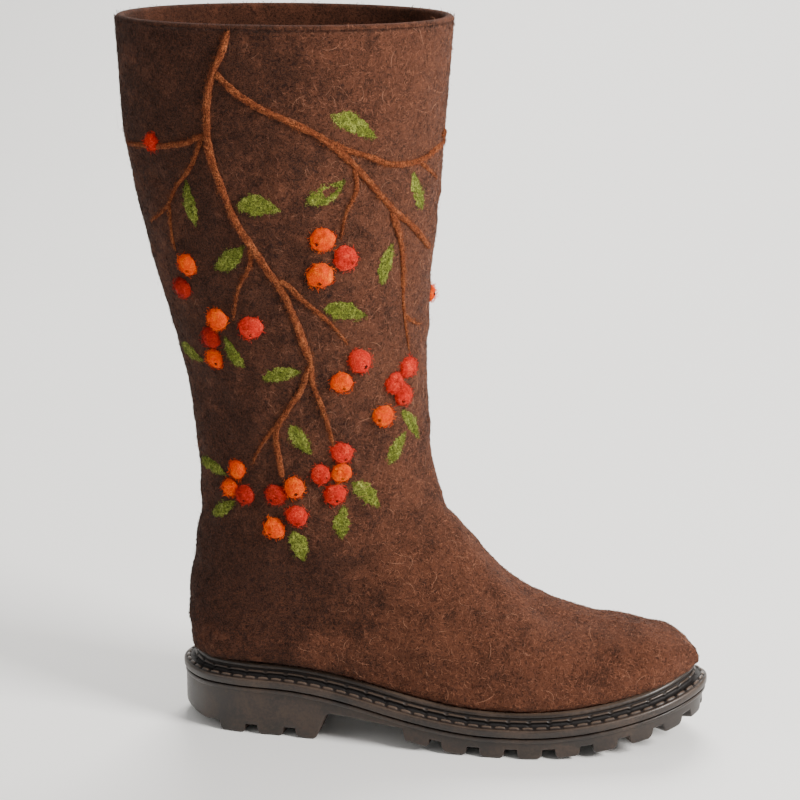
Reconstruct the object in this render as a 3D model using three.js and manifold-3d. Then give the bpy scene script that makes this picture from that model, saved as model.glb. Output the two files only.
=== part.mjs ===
// A felt boot for the right foot on a moulded rubber sole: a hollow felted upper, a felt insole,
// a welt with a rolled bead, and a lugged outsole that has its heel in one piece with it.
// Millimetres. X runs from heel to toe, +Y is the inner side of the foot and Z is up.
// The origin is on the floor, in the middle of the heel's tread.

import * as THREE from "three";
import { mergeVertices } from "three/addons/utils/BufferGeometryUtils.js";
import Module from "manifold-3d";

const wasm = await Module();
wasm.setup();

// Driving sizes of the sole
const soleLength = 281; // back of the heel to the tip of the toe, at the welt's edge
const ballWidth = 101; // across the welt at the ball of the foot
const heelWidth = 75; // across the welt at the heel
const heelHeight = 26; // floor to the top of the outsole under the heel
const forefootHeight = 11.5; // floor to the top of the outsole under the ball
const toeSpring = 16.5; // rise of the toe's tip above the ball
const heelCentre = 38; // back of the heel to the middle of its tread
const heelDepth = 80; // back of the heel to its breast
const breastSlope = 6; // the breast leans forward by this
const archHeight = 15.4; // clear height just in front of the heel
const archFront = 11.8; // clear height just behind the forefoot's lugs
const treadStart = 128; // back of the heel to the first forefoot lug
const rockerStart = 168; // the tread lifts off the ground behind this
const rockerRise = 5.6; // and reaches this height at its back end
const lugDepth = 4.8;
const lugLength = 21; // inward from the edge
const lugPitch = 19.9; // from notch to notch along the forefoot's edge
const heelLugPitch = 21.3;
const firstNotch = 144.6; // back of the heel to the first forefoot notch
const firstHeelNotch = 22.8;
const notchRoot = 5.6; // width of a notch at its root
const notchMouth = 8.6; // width of a notch at the ground
const heelBevel = 3.8; // rise of the heel's back edge
const heelBevelLength = 27;
const ribHeight = 2.4; // raised lip along the top of the outsole's side
const ribInset = 0.7; // the lip, inside the welt's edge
const wallInset = 2.2; // the outsole's side below the lip, inside the welt's edge
const studSize = 17; // cross-shaped studs along the middle of the tread
const studBar = 6;
const studPitch = 23;

// Driving sizes of the welt
const weltWidth = 10.8; // edge to the inner face that holds the felt
const weltHeight = 11.4; // outsole to the top of the bead
const weltEdge = 4.6; // outsole to the top of the outer edge
const beadWidth = 4.3;
const grooveHeight = 1.4; // shadow gap between the welt's edge and the lip below it
const grooveDepth = 2.4;

// Driving sizes of the felt
const feltWall = 5;
const marginWidth = 9; // felt turned in under the insole
const toeLift = 14.2; // outsole to the foremost point of the felt
const insoleThickness = 5;
const insoleSlack = 0.5; // insole to the felt round it
const instepHeight = 100; // height that the foot sections share out
const shaftHeight = 349; // top of the outsole at the heel to the collar
const ankleWidth = 88; // across the shaft at the ankle
const collarWidth = 132; // across the shaft at the collar
const seatGap = 0.3; // between pieces that touch
const overlap = 0.5; // forms that are joined run into each other by this

const outlineSteps = 60;
const profileSteps = 20;
const sectionPoints = 36; // round the felt's outside
const innerPoints = 20; // round its inside
const plainRows = 5; // rows at the top of the shaft with no section between them

// The sole's outline, walked from the back of the heel along the outer side to the toe and back along
// the inner side. along: share of the sole's length. across: share of half the local width.
const outlinePoints = [
  { along: 0.0, across: 0.0 },
  { along: 0.014, across: -0.4 },
  { along: 0.06, across: -0.8 },
  { along: 0.13, across: -0.99 },
  { along: 0.22, across: -1.06 },
  { along: 0.33, across: -1.07 },
  { along: 0.44, across: -1.06 },
  { along: 0.54, across: -1.02 },
  { along: 0.63, across: -1.01 },
  { along: 0.71, across: -0.985 },
  { along: 0.79, across: -0.9 },
  { along: 0.87, across: -0.745 },
  { along: 0.93, across: -0.555 },
  { along: 0.975, across: -0.29 },
  { along: 0.997, across: -0.03 },
  { along: 0.998, across: 0.22 },
  { along: 0.978, across: 0.48 },
  { along: 0.93, across: 0.72 },
  { along: 0.86, across: 0.88 },
  { along: 0.77, across: 0.96 },
  { along: 0.69, across: 0.92 },
  { along: 0.59, across: 0.78 },
  { along: 0.48, across: 0.68 },
  { along: 0.37, across: 0.76 },
  { along: 0.25, across: 0.91 },
  { along: 0.14, across: 0.93 },
  { along: 0.06, across: 0.76 },
  { along: 0.014, across: 0.38 },
];

// Sections of the upper that stand on the sole, from the toe backwards.
// at: the bottom of the section, share of the sole's length. lean: how far its top lies ahead of that.
// high: its height, share of the instep height. lift: how far its bottom is above the sole, share of
// toeLift. outer, inner: felt beyond the welt's inner face on each side, share of the welt's width.
// widest: share of the height. low, top: squareness of the lower and the upper half.
// nose: how much of the wall lies ahead.
const footRows = [
  { at: 0.981, lean: 0.0, high: 0.0, lift: 1.0, outer: 0.52, inner: 0.52, widest: 0.5, low: 2.2, top: 2.1, nose: 1.0 },
  { at: 0.9765, lean: 0.002, high: 0.128, lift: 0.55, outer: 0.5, inner: 0.5, widest: 0.48, low: 2.3, top: 2.1, nose: 0.93 },
  { at: 0.964, lean: 0.004, high: 0.218, lift: 0.2, outer: 0.46, inner: 0.46, widest: 0.42, low: 2.6, top: 2.15, nose: 0.8 },
  { at: 0.94, lean: 0.006, high: 0.318, lift: 0.0, outer: 0.42, inner: 0.42, widest: 0.4, low: 3.2, top: 2.2, nose: 0.62 },
  { at: 0.9, lean: 0.008, high: 0.392, lift: 0.0, outer: 0.38, inner: 0.38, widest: 0.38, low: 3.8, top: 2.2, nose: 0.4 },
  { at: 0.845, lean: 0.01, high: 0.466, lift: 0.0, outer: 0.34, inner: 0.34, widest: 0.36, low: 4.2, top: 2.15, nose: 0.2 },
  { at: 0.77, lean: 0.012, high: 0.538, lift: 0.0, outer: 0.32, inner: 0.34, widest: 0.35, low: 4.4, top: 2.1, nose: 0.08 },
  { at: 0.68, lean: 0.022, high: 0.639, lift: 0.0, outer: 0.34, inner: 0.55, widest: 0.35, low: 4.8, top: 2.05, nose: 0.0 },
  { at: 0.57, lean: 0.056, high: 0.762, lift: 0.0, outer: 0.4, inner: 0.88, widest: 0.35, low: 5.0, top: 2.0, nose: 0.0 },
  { at: 0.445, lean: 0.124, high: 0.851, lift: 0.0, outer: 0.48, inner: 1.24, widest: 0.36, low: 5.0, top: 2.0, nose: 0.0 },
  { at: 0.32, lean: 0.213, high: 0.883, lift: 0.0, outer: 0.68, inner: 1.36, widest: 0.39, low: 4.6, top: 2.0, nose: 0.0 },
  { at: 0.2, lean: 0.307, high: 0.925, lift: 0.0, outer: 0.92, inner: 1.3, widest: 0.42, low: 4.2, top: 2.05, nose: 0.0 },
  { at: 0.105, lean: 0.386, high: 1.035, lift: 0.0, outer: 1.28, inner: 1.4, widest: 0.45, low: 3.7, top: 2.1, nose: 0.0 },
];

// Sections of the upper from the heel's back to the collar. back, front: share of the sole's length.
// backUp, frontUp: share of the shaft's height above the heel. wide: share of the ankle's width, and
// flare moves that towards the collar's width. low, top: squareness of the back and the front half.
const shaftRows = [
  { back: 0.04, backUp: 0.014, front: 0.4805, frontUp: 0.332, wide: 0.905, flare: 0.0, widest: 0.48, low: 3.2, top: 2.1 },
  { back: 0.02, backUp: 0.072, front: 0.4745, frontUp: 0.364, wide: 0.915, flare: 0.0, widest: 0.5, low: 2.7, top: 2.1 },
  { back: 0.019, backUp: 0.136, front: 0.471, frontUp: 0.396, wide: 0.935, flare: 0.0, widest: 0.5, low: 2.35, top: 2.1 },
  { back: 0.031, backUp: 0.208, front: 0.47, frontUp: 0.43, wide: 0.96, flare: 0.0, widest: 0.5, low: 2.25, top: 2.1 },
  { back: 0.042, backUp: 0.28, front: 0.4695, frontUp: 0.467, wide: 0.985, flare: 0.0, widest: 0.5, low: 2.15, top: 2.1 },
  { back: 0.042, backUp: 0.352, front: 0.469, frontUp: 0.507, wide: 1.0, flare: 0.06, widest: 0.5, low: 2.1, top: 2.1 },
  { back: 0.026, backUp: 0.44, front: 0.471, frontUp: 0.556, wide: 1.0, flare: 0.2, widest: 0.5, low: 2.1, top: 2.1 },
  { back: -0.004, backUp: 0.54, front: 0.476, frontUp: 0.615, wide: 1.0, flare: 0.42, widest: 0.5, low: 2.1, top: 2.1 },
  { back: -0.038, backUp: 0.645, front: 0.483, frontUp: 0.69, wide: 1.0, flare: 0.64, widest: 0.5, low: 2.1, top: 2.1 },
  { back: -0.07, backUp: 0.755, front: 0.493, frontUp: 0.778, wide: 1.0, flare: 0.83, widest: 0.5, low: 2.1, top: 2.1 },
  { back: -0.09, backUp: 0.87, front: 0.504, frontUp: 0.878, wide: 1.0, flare: 0.94, widest: 0.5, low: 2.1, top: 2.1 },
  { back: -0.1, backUp: 1.0, front: 0.516, frontUp: 1.0, wide: 1.0, flare: 1.0, widest: 0.5, low: 2.1, top: 2.1 },
];

const lerp = THREE.MathUtils.lerp;
const smooth = THREE.MathUtils.smoothstep;

// Height of the outsole's top at a distance from the back of the heel.
function bed(x) {
  const share = x / soleLength;
  const pitch = (heelHeight - forefootHeight) * (1 - smooth(share, 0.21, 0.62));
  return forefootHeight + pitch + toeRise(share);
}

// Rise of the toe above the ball, the same for the tread and for the top of the outsole.
function toeRise(share) {
  const ahead = Math.max(0, share - 0.66) / 0.34;
  return toeSpring * ahead ** 1.9;
}

// Height of the ground side of the lugs: bevelled at the back of the heel, and a rocker at the forefoot.
function tread(x) {
  const bevel = heelBevel * (1 - smooth(x, heelBevelLength * 0.55, heelBevelLength));
  const back = Math.max(0, (rockerStart - x) / (rockerStart - treadStart));
  const rocker = x > heelDepth + breastSlope ? rockerRise * Math.min(back, 1) ** 2 : 0;
  return bevel + rocker + toeRise(x / soleLength);
}

// Half the local width of the sole, blended from the heel's to the ball's.
function halfWidth(along) {
  return lerp(heelWidth, ballWidth, smooth(along, 0.2, 0.62)) / 2;
}

const outlineCurve = new THREE.CatmullRomCurve3(
  outlinePoints.map((p) => new THREE.Vector3(p.along * soleLength, p.across * halfWidth(p.along), 0)),
  true,
  "centripetal",
);

// Places along the sole's edge, each with its unit normal that points inwards.
const edge = [...Array(outlineSteps).keys()].map((i) => edgeAt(i / outlineSteps));
const fineEdge = [...Array(outlineSteps * 8).keys()].map((i) => edgeAt(i / outlineSteps / 8));

function edgeAt(t) {
  const point = outlineCurve.getPointAt(((t % 1) + 1) % 1);
  const tangent = outlineCurve.getTangentAt(((t % 1) + 1) % 1);
  return { x: point.x, y: point.y, nx: -tangent.y, ny: tangent.x };
}

// The outline moved inwards, as points in the plan. Points that cross over in a tight curve are left out.
function insetOutline(inset) {
  const moved = edge.map((e) => new THREE.Vector2(e.x + e.nx * inset, e.y + e.ny * inset));
  const near = (p) => Math.min(...fineEdge.map((e) => Math.hypot(e.x - p.x, e.y - p.y)));
  return moved.filter((p) => near(p) > inset - 0.02);
}

// Half widths of the inset outline at a distance from the back of the heel: outer side and inner side.
function spanAt(x, inset) {
  const points = insetOutline(inset);
  const found = { outer: 0, inner: 0 };
  points.forEach((a, i) => {
    const b = points[(i + 1) % points.length];
    if ((a.x - x) * (b.x - x) > 0 || a.x === b.x) return;
    const y = lerp(a.y, b.y, (x - a.x) / (b.x - a.x));
    found.outer = Math.min(found.outer, y);
    found.inner = Math.max(found.inner, y);
  });
  return found;
}

// Solids

// A three.js geometry as a manifold solid.
function solidOf(geometry) {
  const bare = geometry.index ? geometry.toNonIndexed() : geometry;
  bare.deleteAttribute("normal");
  bare.deleteAttribute("uv");
  const merged = mergeVertices(bare, 1e-4);
  return new wasm.Manifold(
    new wasm.Mesh({
      numProp: 3,
      vertProperties: merged.attributes.position.array,
      triVerts: new Uint32Array(merged.index.array),
    }),
  );
}

// A manifold solid as a three.js geometry.
function geometryOf(solid) {
  const mesh = solid.getMesh();
  const geometry = new THREE.BufferGeometry();
  geometry.setAttribute("position", new THREE.BufferAttribute(mesh.vertProperties, 3));
  geometry.setIndex(new THREE.BufferAttribute(mesh.triVerts, 1));
  return geometry.toNonIndexed();
}

// A plan outline as an upright prism between two heights.
function planPrism(points, low, high) {
  const geometry = new THREE.ExtrudeGeometry(new THREE.Shape(points), {
    depth: high - low,
    bevelEnabled: false,
  });
  return solidOf(geometry.translate(0, 0, low));
}

// A side outline, points of x and z, as a prism across the whole sole.
function sidePrism(points) {
  const across = ballWidth * 2;
  const geometry = new THREE.ExtrudeGeometry(new THREE.Shape(points), {
    depth: across,
    bevelEnabled: false,
  });
  geometry.rotateX(Math.PI / 2);
  return solidOf(geometry.translate(0, across / 2, 0));
}

// The side outline between two height functions of x.
function band(from, to, low, high, steps = profileSteps) {
  const xs = [...Array(steps + 1).keys()].map((i) => lerp(from, to, i / steps));
  const under = xs.map((x) => new THREE.Vector2(x, low(x)));
  const over = xs.map((x) => new THREE.Vector2(x, high(x))).reverse();
  return sidePrism([...under, ...over]);
}

const tall = heelHeight + toeSpring + weltHeight; // above everything of the sole

// A layer that follows the top of the outsole, between two heights above it, inside an inset outline.
function layer(inset, low, high) {
  const plan = planPrism(insetOutline(inset), -tall, 2 * tall);
  return plan.intersect(
    band(-weltWidth, soleLength + weltWidth, (x) => bed(x) + low, (x) => bed(x) + high),
  );
}

// A closed surface through rings of points. The first ring may be a single point.
function loft(rings) {
  const count = rings[1].length;
  const positions = [];
  const face = (a, b, c) => positions.push(...a, ...b, ...c);
  const centre = (ring) => [0, 1, 2].map((k) => ring.reduce((sum, p) => sum + p[k], 0) / ring.length);
  rings.slice(1).forEach((ring, r) => {
    const below = rings[r];
    for (let i = 0; i < count; i += 1) {
      const j = (i + 1) % count;
      if (below.length === 1) {
        face(below[0], ring[j], ring[i]);
      } else {
        face(below[i], below[j], ring[j]);
        face(below[i], ring[j], ring[i]);
      }
    }
  });
  const cap = (ring, turned) => {
    const middle = centre(ring);
    ring.forEach((p, i) => {
      const q = ring[(i + 1) % ring.length];
      face(...(turned ? [middle, q, p] : [middle, p, q]));
    });
  };
  if (rings[0].length > 1) cap(rings[0], true);
  cap(rings[rings.length - 1], false);
  const geometry = new THREE.BufferGeometry();
  geometry.setAttribute("position", new THREE.Float32BufferAttribute(positions, 3));
  return solidOf(geometry);
}

// A ring swept round the sole's edge. Its section has points of inset and height above the outsole.
function sweep(section) {
  const rows = edge.map((e) =>
    section.map(([inset, up]) => {
      const x = e.x + e.nx * inset;
      return [x, e.y + e.ny * inset, bed(e.x) + up];
    }),
  );
  const positions = [];
  rows.forEach((row, i) => {
    const next = rows[(i + 1) % rows.length];
    row.forEach((a, k) => {
      const m = (k + 1) % row.length;
      positions.push(...a, ...next[m], ...next[k], ...a, ...row[m], ...next[m]);
    });
  });
  const geometry = new THREE.BufferGeometry();
  geometry.setAttribute("position", new THREE.Float32BufferAttribute(positions, 3));
  return solidOf(geometry);
}

// Outsole

// One notch between two lugs, from outside the edge inwards, as a solid to cut away.
function notch(e) {
  const root = tread(e.x) + lugDepth;
  const deep = 2 * lugDepth;
  const mouth = lerp(notchRoot, notchMouth, (root + deep) / lugDepth);
  const shape = new THREE.Shape([
    new THREE.Vector2(-notchRoot / 2, root),
    new THREE.Vector2(-mouth / 2, -deep),
    new THREE.Vector2(mouth / 2, -deep),
    new THREE.Vector2(notchRoot / 2, root),
  ]);
  const geometry = new THREE.ExtrudeGeometry(shape, { depth: lugLength * 1.6, bevelEnabled: false });
  geometry.rotateX(Math.PI / 2).rotateZ(Math.atan2(e.ny, e.nx) + Math.PI / 2);
  const start = -lugLength * 0.4;
  return solidOf(geometry.translate(e.x + e.nx * start, e.y + e.ny * start, 0));
}

// The place on the sole's edge at a distance from the back of the heel, on one side (-1 is the outer).
function edgeNear(x, side) {
  const miss = (e) => Math.abs(e.x - x) + (e.y * side < 0 ? soleLength : 0);
  return fineEdge.reduce((best, e) => (miss(e) < miss(best) ? e : best));
}

// Places of the notches: the heel's on both sides, and the forefoot's in equal steps round the toe.
function notchPlaces() {
  const places = [];
  for (let x = firstHeelNotch; x < heelDepth - notchMouth; x += heelLugPitch) {
    places.push(edgeNear(x, -1), edgeNear(x, 1));
  }
  const step = outlineCurve.getLength() / fineEdge.length;
  const first = fineEdge.indexOf(edgeNear(firstNotch, -1));
  const around = Math.round(lugPitch / step);
  for (let i = first; fineEdge[i].x > treadStart + lugPitch * 0.6; i += around) places.push(fineEdge[i]);
  return places;
}

// A cross-shaped stud that stands on the ground.
function crossStud(x, y) {
  const high = lugDepth * 1.5;
  const bars = [
    new THREE.BoxGeometry(studSize, studBar, high),
    new THREE.BoxGeometry(studBar, studSize, high),
  ].map((bar) => solidOf(bar.translate(x, y, tread(x) + high / 2)));
  return bars[0].add(bars[1]);
}

// The middle of the tread between the edges at a distance from the heel's back.
function middleAt(x) {
  const span = spanAt(x, wallInset);
  return (span.outer + span.inner) / 2;
}

function outsole() {
  const plan = planPrism(insetOutline(wallInset), -tall, 2 * tall);
  const root = (x) => tread(x) + lugDepth;
  const breast = heelDepth + breastSlope;
  const slope = (x) => lerp(lugDepth, archHeight, (x - heelDepth) / breastSlope);
  const front = (x) => Math.max(0, lerp(0, archHeight, (x - heelDepth) / breastSlope));
  const arch = (x) => lerp(archHeight, archFront, (x - breast) / (treadStart - breast));
  const body = band(-weltWidth, heelDepth, root, bed, 6)
    .add(band(heelDepth - overlap, breast, slope, bed, 2))
    .add(band(breast - overlap, treadStart, arch, bed, 4))
    .add(band(treadStart - overlap, soleLength + weltWidth, root, bed, 16));
  const lugs = band(-weltWidth, heelDepth, tread, (x) => root(x) + overlap, 8)
    .add(band(heelDepth - overlap, breast, front, bed, 2))
    .add(band(treadStart, soleLength + weltWidth, tread, (x) => root(x) + overlap, 16));
  const middle = planPrism(insetOutline(lugLength), -tall, 2 * tall);
  const channel = (from, to) => middle.intersect(band(from, to, (x) => tread(x) - tall, root, 12));
  let blocks = plan
    .intersect(lugs)
    .subtract(channel(0, heelDepth - lugDepth * 2))
    .subtract(channel(treadStart - overlap, soleLength));
  notchPlaces().forEach((e) => {
    blocks = blocks.subtract(notch(e));
  });
  let made = plan.intersect(body).add(blocks).add(layer(ribInset, -ribHeight, 0));
  made = made.add(crossStud(heelCentre, middleAt(heelCentre)));
  for (let x = treadStart + studSize; x < soleLength - lugLength - studSize; x += studPitch) {
    made = made.add(crossStud(x, middleAt(x)));
  }
  return made;
}

// Welt

function welt() {
  const beadFoot = weltWidth - beadWidth;
  const ledge = lerp(weltEdge, weltHeight, 0.26);
  return sweep([
    [grooveDepth, seatGap],
    [weltWidth, seatGap],
    [weltWidth, weltHeight * 0.88],
    [weltWidth - beadWidth * 0.22, weltHeight * 0.98],
    [weltWidth - beadWidth * 0.5, weltHeight],
    [weltWidth - beadWidth * 0.8, weltHeight * 0.95],
    [beadFoot, weltHeight * 0.8],
    [beadFoot - 0.3, ledge],
    [weltEdge * 0.18, weltEdge],
    [0, weltEdge * 0.85],
    [0, grooveHeight + 0.4],
    [grooveDepth, grooveHeight],
  ]);
}

// Upper

// A row of either table in millimetres, with the wall taken off on all sides.
function footSection(row, wall) {
  const x = row.at * soleLength - wall * row.nose;
  const inPlane = wall * Math.sqrt(1 - row.nose ** 2);
  const floor = bed(x) + seatGap;
  const lift = row.lift * toeLift;
  const height = row.high * instepHeight;
  const outer = -spanAt(row.at * soleLength, weltWidth * (1 - row.outer)).outer;
  const inner = spanAt(row.at * soleLength, weltWidth * (1 - row.inner)).inner;
  return {
    low: new THREE.Vector2(x, floor + lift + inPlane),
    high: new THREE.Vector2(x + row.lean * soleLength, floor + lift + height - inPlane),
    outer: Math.max(outer - inPlane, 0),
    inner: Math.max(inner - inPlane, 0),
    widest: row.widest,
    squareLow: row.low,
    squareTop: row.top,
  };
}

function shaftSection(row, wall) {
  const base = bed(0);
  const half = (lerp(ankleWidth, collarWidth, row.flare) * row.wide) / 2;
  const low = new THREE.Vector2(row.back * soleLength, base + row.backUp * shaftHeight);
  const high = new THREE.Vector2(row.front * soleLength, base + row.frontUp * shaftHeight);
  const along = high.clone().sub(low).normalize().multiplyScalar(wall);
  return {
    low: low.add(along),
    high: high.sub(along),
    outer: half - wall,
    inner: half - wall,
    widest: row.widest,
    squareLow: row.low,
    squareTop: row.top,
  };
}

const columns = (s) => [
  s.low.x,
  s.low.y,
  s.high.x,
  s.high.y,
  s.outer,
  s.inner,
  s.widest,
  s.squareLow,
  s.squareTop,
];

// The row between two rows of numbers, smoothly through them all.
function between(rows, index, share) {
  const row = (i) => rows[THREE.MathUtils.clamp(i, 0, rows.length - 1)];
  return rows[0].map((_, c) => {
    const [a, b, d, e] = [-1, 0, 1, 2].map((k) => row(index + k)[c]);
    const rise = share * share * (3 - 2 * share);
    const curve = share * (1 - share);
    return lerp(b, d, rise) + (curve * ((1 - share) * (d - a) - share * (e - b))) / 2;
  });
}

// A section's ring of points. Its two halves are superellipses that meet where it is widest.
function ring(section, count) {
  const [lowX, lowZ, highX, highZ, outer, inner, widest, squareLow, squareTop] = section;
  const length = Math.hypot(highX - lowX, highZ - lowZ);
  const points = [];
  for (let i = 0; i < count; i += 1) {
    const angle = (i / count) * 2 * Math.PI;
    const [c, s] = [Math.cos(angle), Math.sin(angle)];
    const power = c < 0 ? squareLow : squareTop;
    const half = Math.max((c < 0 ? widest : 1 - widest) * length, 0.01);
    const side = Math.max(s < 0 ? outer : inner, 0.01);
    const reach = (Math.abs(c / half) ** power + Math.abs(s / side) ** power) ** (-1 / power);
    const u = widest + (reach * c) / length;
    points.push([lerp(lowX, highX, u), reach * s, lerp(lowZ, highZ, u)]);
  }
  return points;
}

// The upper's outer form or, with a wall taken off, its inner form, which runs on past the collar.
function form(wall, count) {
  const rows = [
    ...footRows.map((row) => columns(footSection(row, wall))),
    ...shaftRows.map((row) => columns(shaftSection(row, wall))),
  ];
  const rings = [];
  for (let r = 0; r < rows.length - 1; r += 1) {
    const steps = r < rows.length - 1 - plainRows ? 2 : 1;
    for (let k = 0; k < steps; k += 1) {
      if (r + k > 0) rings.push(ring(between(rows, r, k / steps), count));
    }
  }
  rings.push(ring(rows[rows.length - 1], count));
  const [x, z, , , outer, inner] = rows[0];
  rings.unshift([[x, (inner - outer) / 2, z]]);
  if (wall > 0) {
    const top = rings[rings.length - 1];
    rings.push(top.map(([px, py, pz]) => [px, py, pz + 2 * wall]));
  }
  return loft(rings);
}

function upper() {
  const clear = weltWidth + seatGap;
  const beadTop = weltHeight + seatGap;
  const lining = clear + feltWall;
  const outside = -weltWidth * 2;
  const collar = (inset, up) => sweep([[outside, -weltHeight], [inset, -weltHeight], [inset, up], [outside, up]]);
  const outer = form(0, sectionPoints)
    .add(layer(clear, seatGap, beadTop))
    .subtract(collar(clear, beadTop))
    .subtract(band(-weltWidth, soleLength + weltWidth, (x) => bed(x) - tall, (x) => bed(x) + seatGap));
  const cavity = form(feltWall, innerPoints)
    .subtract(collar(lining, beadTop + feltWall))
    .add(layer(lining, feltWall + seatGap, beadTop))
    .subtract(band(-weltWidth, soleLength + weltWidth, (x) => bed(x) - tall, (x) => bed(x) + feltWall + seatGap));
  const opening = layer(lining + marginWidth, -weltHeight, feltWall + 2 * seatGap);
  return outer.subtract(cavity).subtract(opening);
}

// Insole: a felt sheet that lies on the upper's turned-in margin and fills the opening inside it.
function insole() {
  const edgeInset = weltWidth + seatGap + feltWall + insoleSlack;
  const base = feltWall + 2 * seatGap;
  const sheet = layer(edgeInset, base, base + insoleThickness);
  return sheet.add(layer(edgeInset + marginWidth, 2 * seatGap, base + overlap));
}

// Assembly

const felt = new THREE.MeshStandardMaterial({ color: 0x4a2a1d, roughness: 0.95, metalness: 0 });
const innerFelt = new THREE.MeshStandardMaterial({ color: 0x5a3a2a, roughness: 0.95, metalness: 0 });
const rubber = new THREE.MeshStandardMaterial({ color: 0x2b2827, roughness: 0.55, metalness: 0 });

function piece(name, solid, material) {
  const mesh = new THREE.Mesh(geometryOf(solid), material);
  mesh.name = name;
  return mesh;
}

const boot = new THREE.Group();
boot.add(piece("outsole", outsole(), rubber));
boot.add(piece("welt", welt(), rubber));
boot.add(piece("upper", upper(), felt));
boot.add(piece("insole", insole(), innerFelt));

// The parts above are measured from the back of the heel, and the boot stands over its heel's middle.
boot.position.x = -heelCentre;

export default boot;
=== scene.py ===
"""Felt boot on a moulded rubber sole: the looks of the part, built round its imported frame.

Lengths are in millimetres, measured from the back of the heel as in the part's source. They become
metres in the frame of the part when a mesh is made.
"""

import logging
import math
from dataclasses import dataclass, field
from enum import Enum
from functools import cached_property
from typing import Any, Callable

import bpy
import numpy as np
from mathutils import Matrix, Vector, geometry
from mathutils.bvhtree import BVHTree

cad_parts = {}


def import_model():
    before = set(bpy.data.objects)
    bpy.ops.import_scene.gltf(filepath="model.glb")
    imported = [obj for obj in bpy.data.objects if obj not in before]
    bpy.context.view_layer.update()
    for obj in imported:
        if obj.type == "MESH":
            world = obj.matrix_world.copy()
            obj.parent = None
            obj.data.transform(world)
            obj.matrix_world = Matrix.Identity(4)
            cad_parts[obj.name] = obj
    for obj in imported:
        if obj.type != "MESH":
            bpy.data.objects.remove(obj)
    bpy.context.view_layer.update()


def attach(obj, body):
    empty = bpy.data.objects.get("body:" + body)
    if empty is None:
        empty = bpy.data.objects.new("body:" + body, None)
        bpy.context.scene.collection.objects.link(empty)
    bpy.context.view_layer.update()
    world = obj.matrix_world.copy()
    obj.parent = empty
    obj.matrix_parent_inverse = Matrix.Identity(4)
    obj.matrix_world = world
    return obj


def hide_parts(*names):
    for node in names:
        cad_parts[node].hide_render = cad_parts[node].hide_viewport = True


LOG = logging.getLogger("boot")
MM = 0.001
HEEL_CENTRE = 38.0  # back of the heel to the middle of its tread, where the part's frame starts
BODY = "root"
HOLLOW = "hollow"  # value at a mesh's points: painted shade up to 1 deep in a groove, down to -1 on a crest painted lighter, partly wear and partly highlight

Array = np.ndarray


def smooth(x: Array, low: float, high: float) -> Array:
    """Return a smooth step from 0 at low to 1 at high."""
    share = np.clip((x - low) / (high - low), 0.0, 1.0)
    return share * share * (3.0 - 2.0 * share)


def lerp(a: Any, b: Any, share: Any) -> Any:
    """Return the value at a share of the way from a to b."""
    return a + (b - a) * share


def rounded_max(a: Array, b: Array, soft: float) -> Array:
    """Return the larger of two heights, with the corner between them rounded."""
    return (a + b + np.hypot(a - b, soft)) / 2


def unit(vectors: Array) -> Array:
    """Return the vectors scaled to length 1."""
    return vectors / np.maximum(np.linalg.norm(vectors, axis=-1, keepdims=True), 1e-9)


@dataclass(frozen=True)
class Unevenness:
    """Soft random swelling of a surface, a sum of waves that run in seeded directions.

    Attributes:
        height: largest swelling, roughly, in millimetres.
        short: shortest wavelength in millimetres.
        long: longest wavelength in millimetres.
        waves: how many waves are summed.
        seed: start of the random numbers.
    """

    height: float
    short: float
    long: float
    waves: int
    seed: int

    def at(self, points: Array) -> Array:
        """Return the swelling at each point."""
        rng = np.random.default_rng(self.seed)
        total = np.zeros(points.shape[:-1])
        for _ in range(self.waves):
            direction = unit(rng.normal(size=3))
            wavelength = rng.uniform(self.short, self.long)
            phase = rng.uniform(0, 2 * math.pi)
            total += np.sin(points @ direction * (2 * math.pi / wavelength) + phase)
        return total * self.height / math.sqrt(self.waves)


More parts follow.
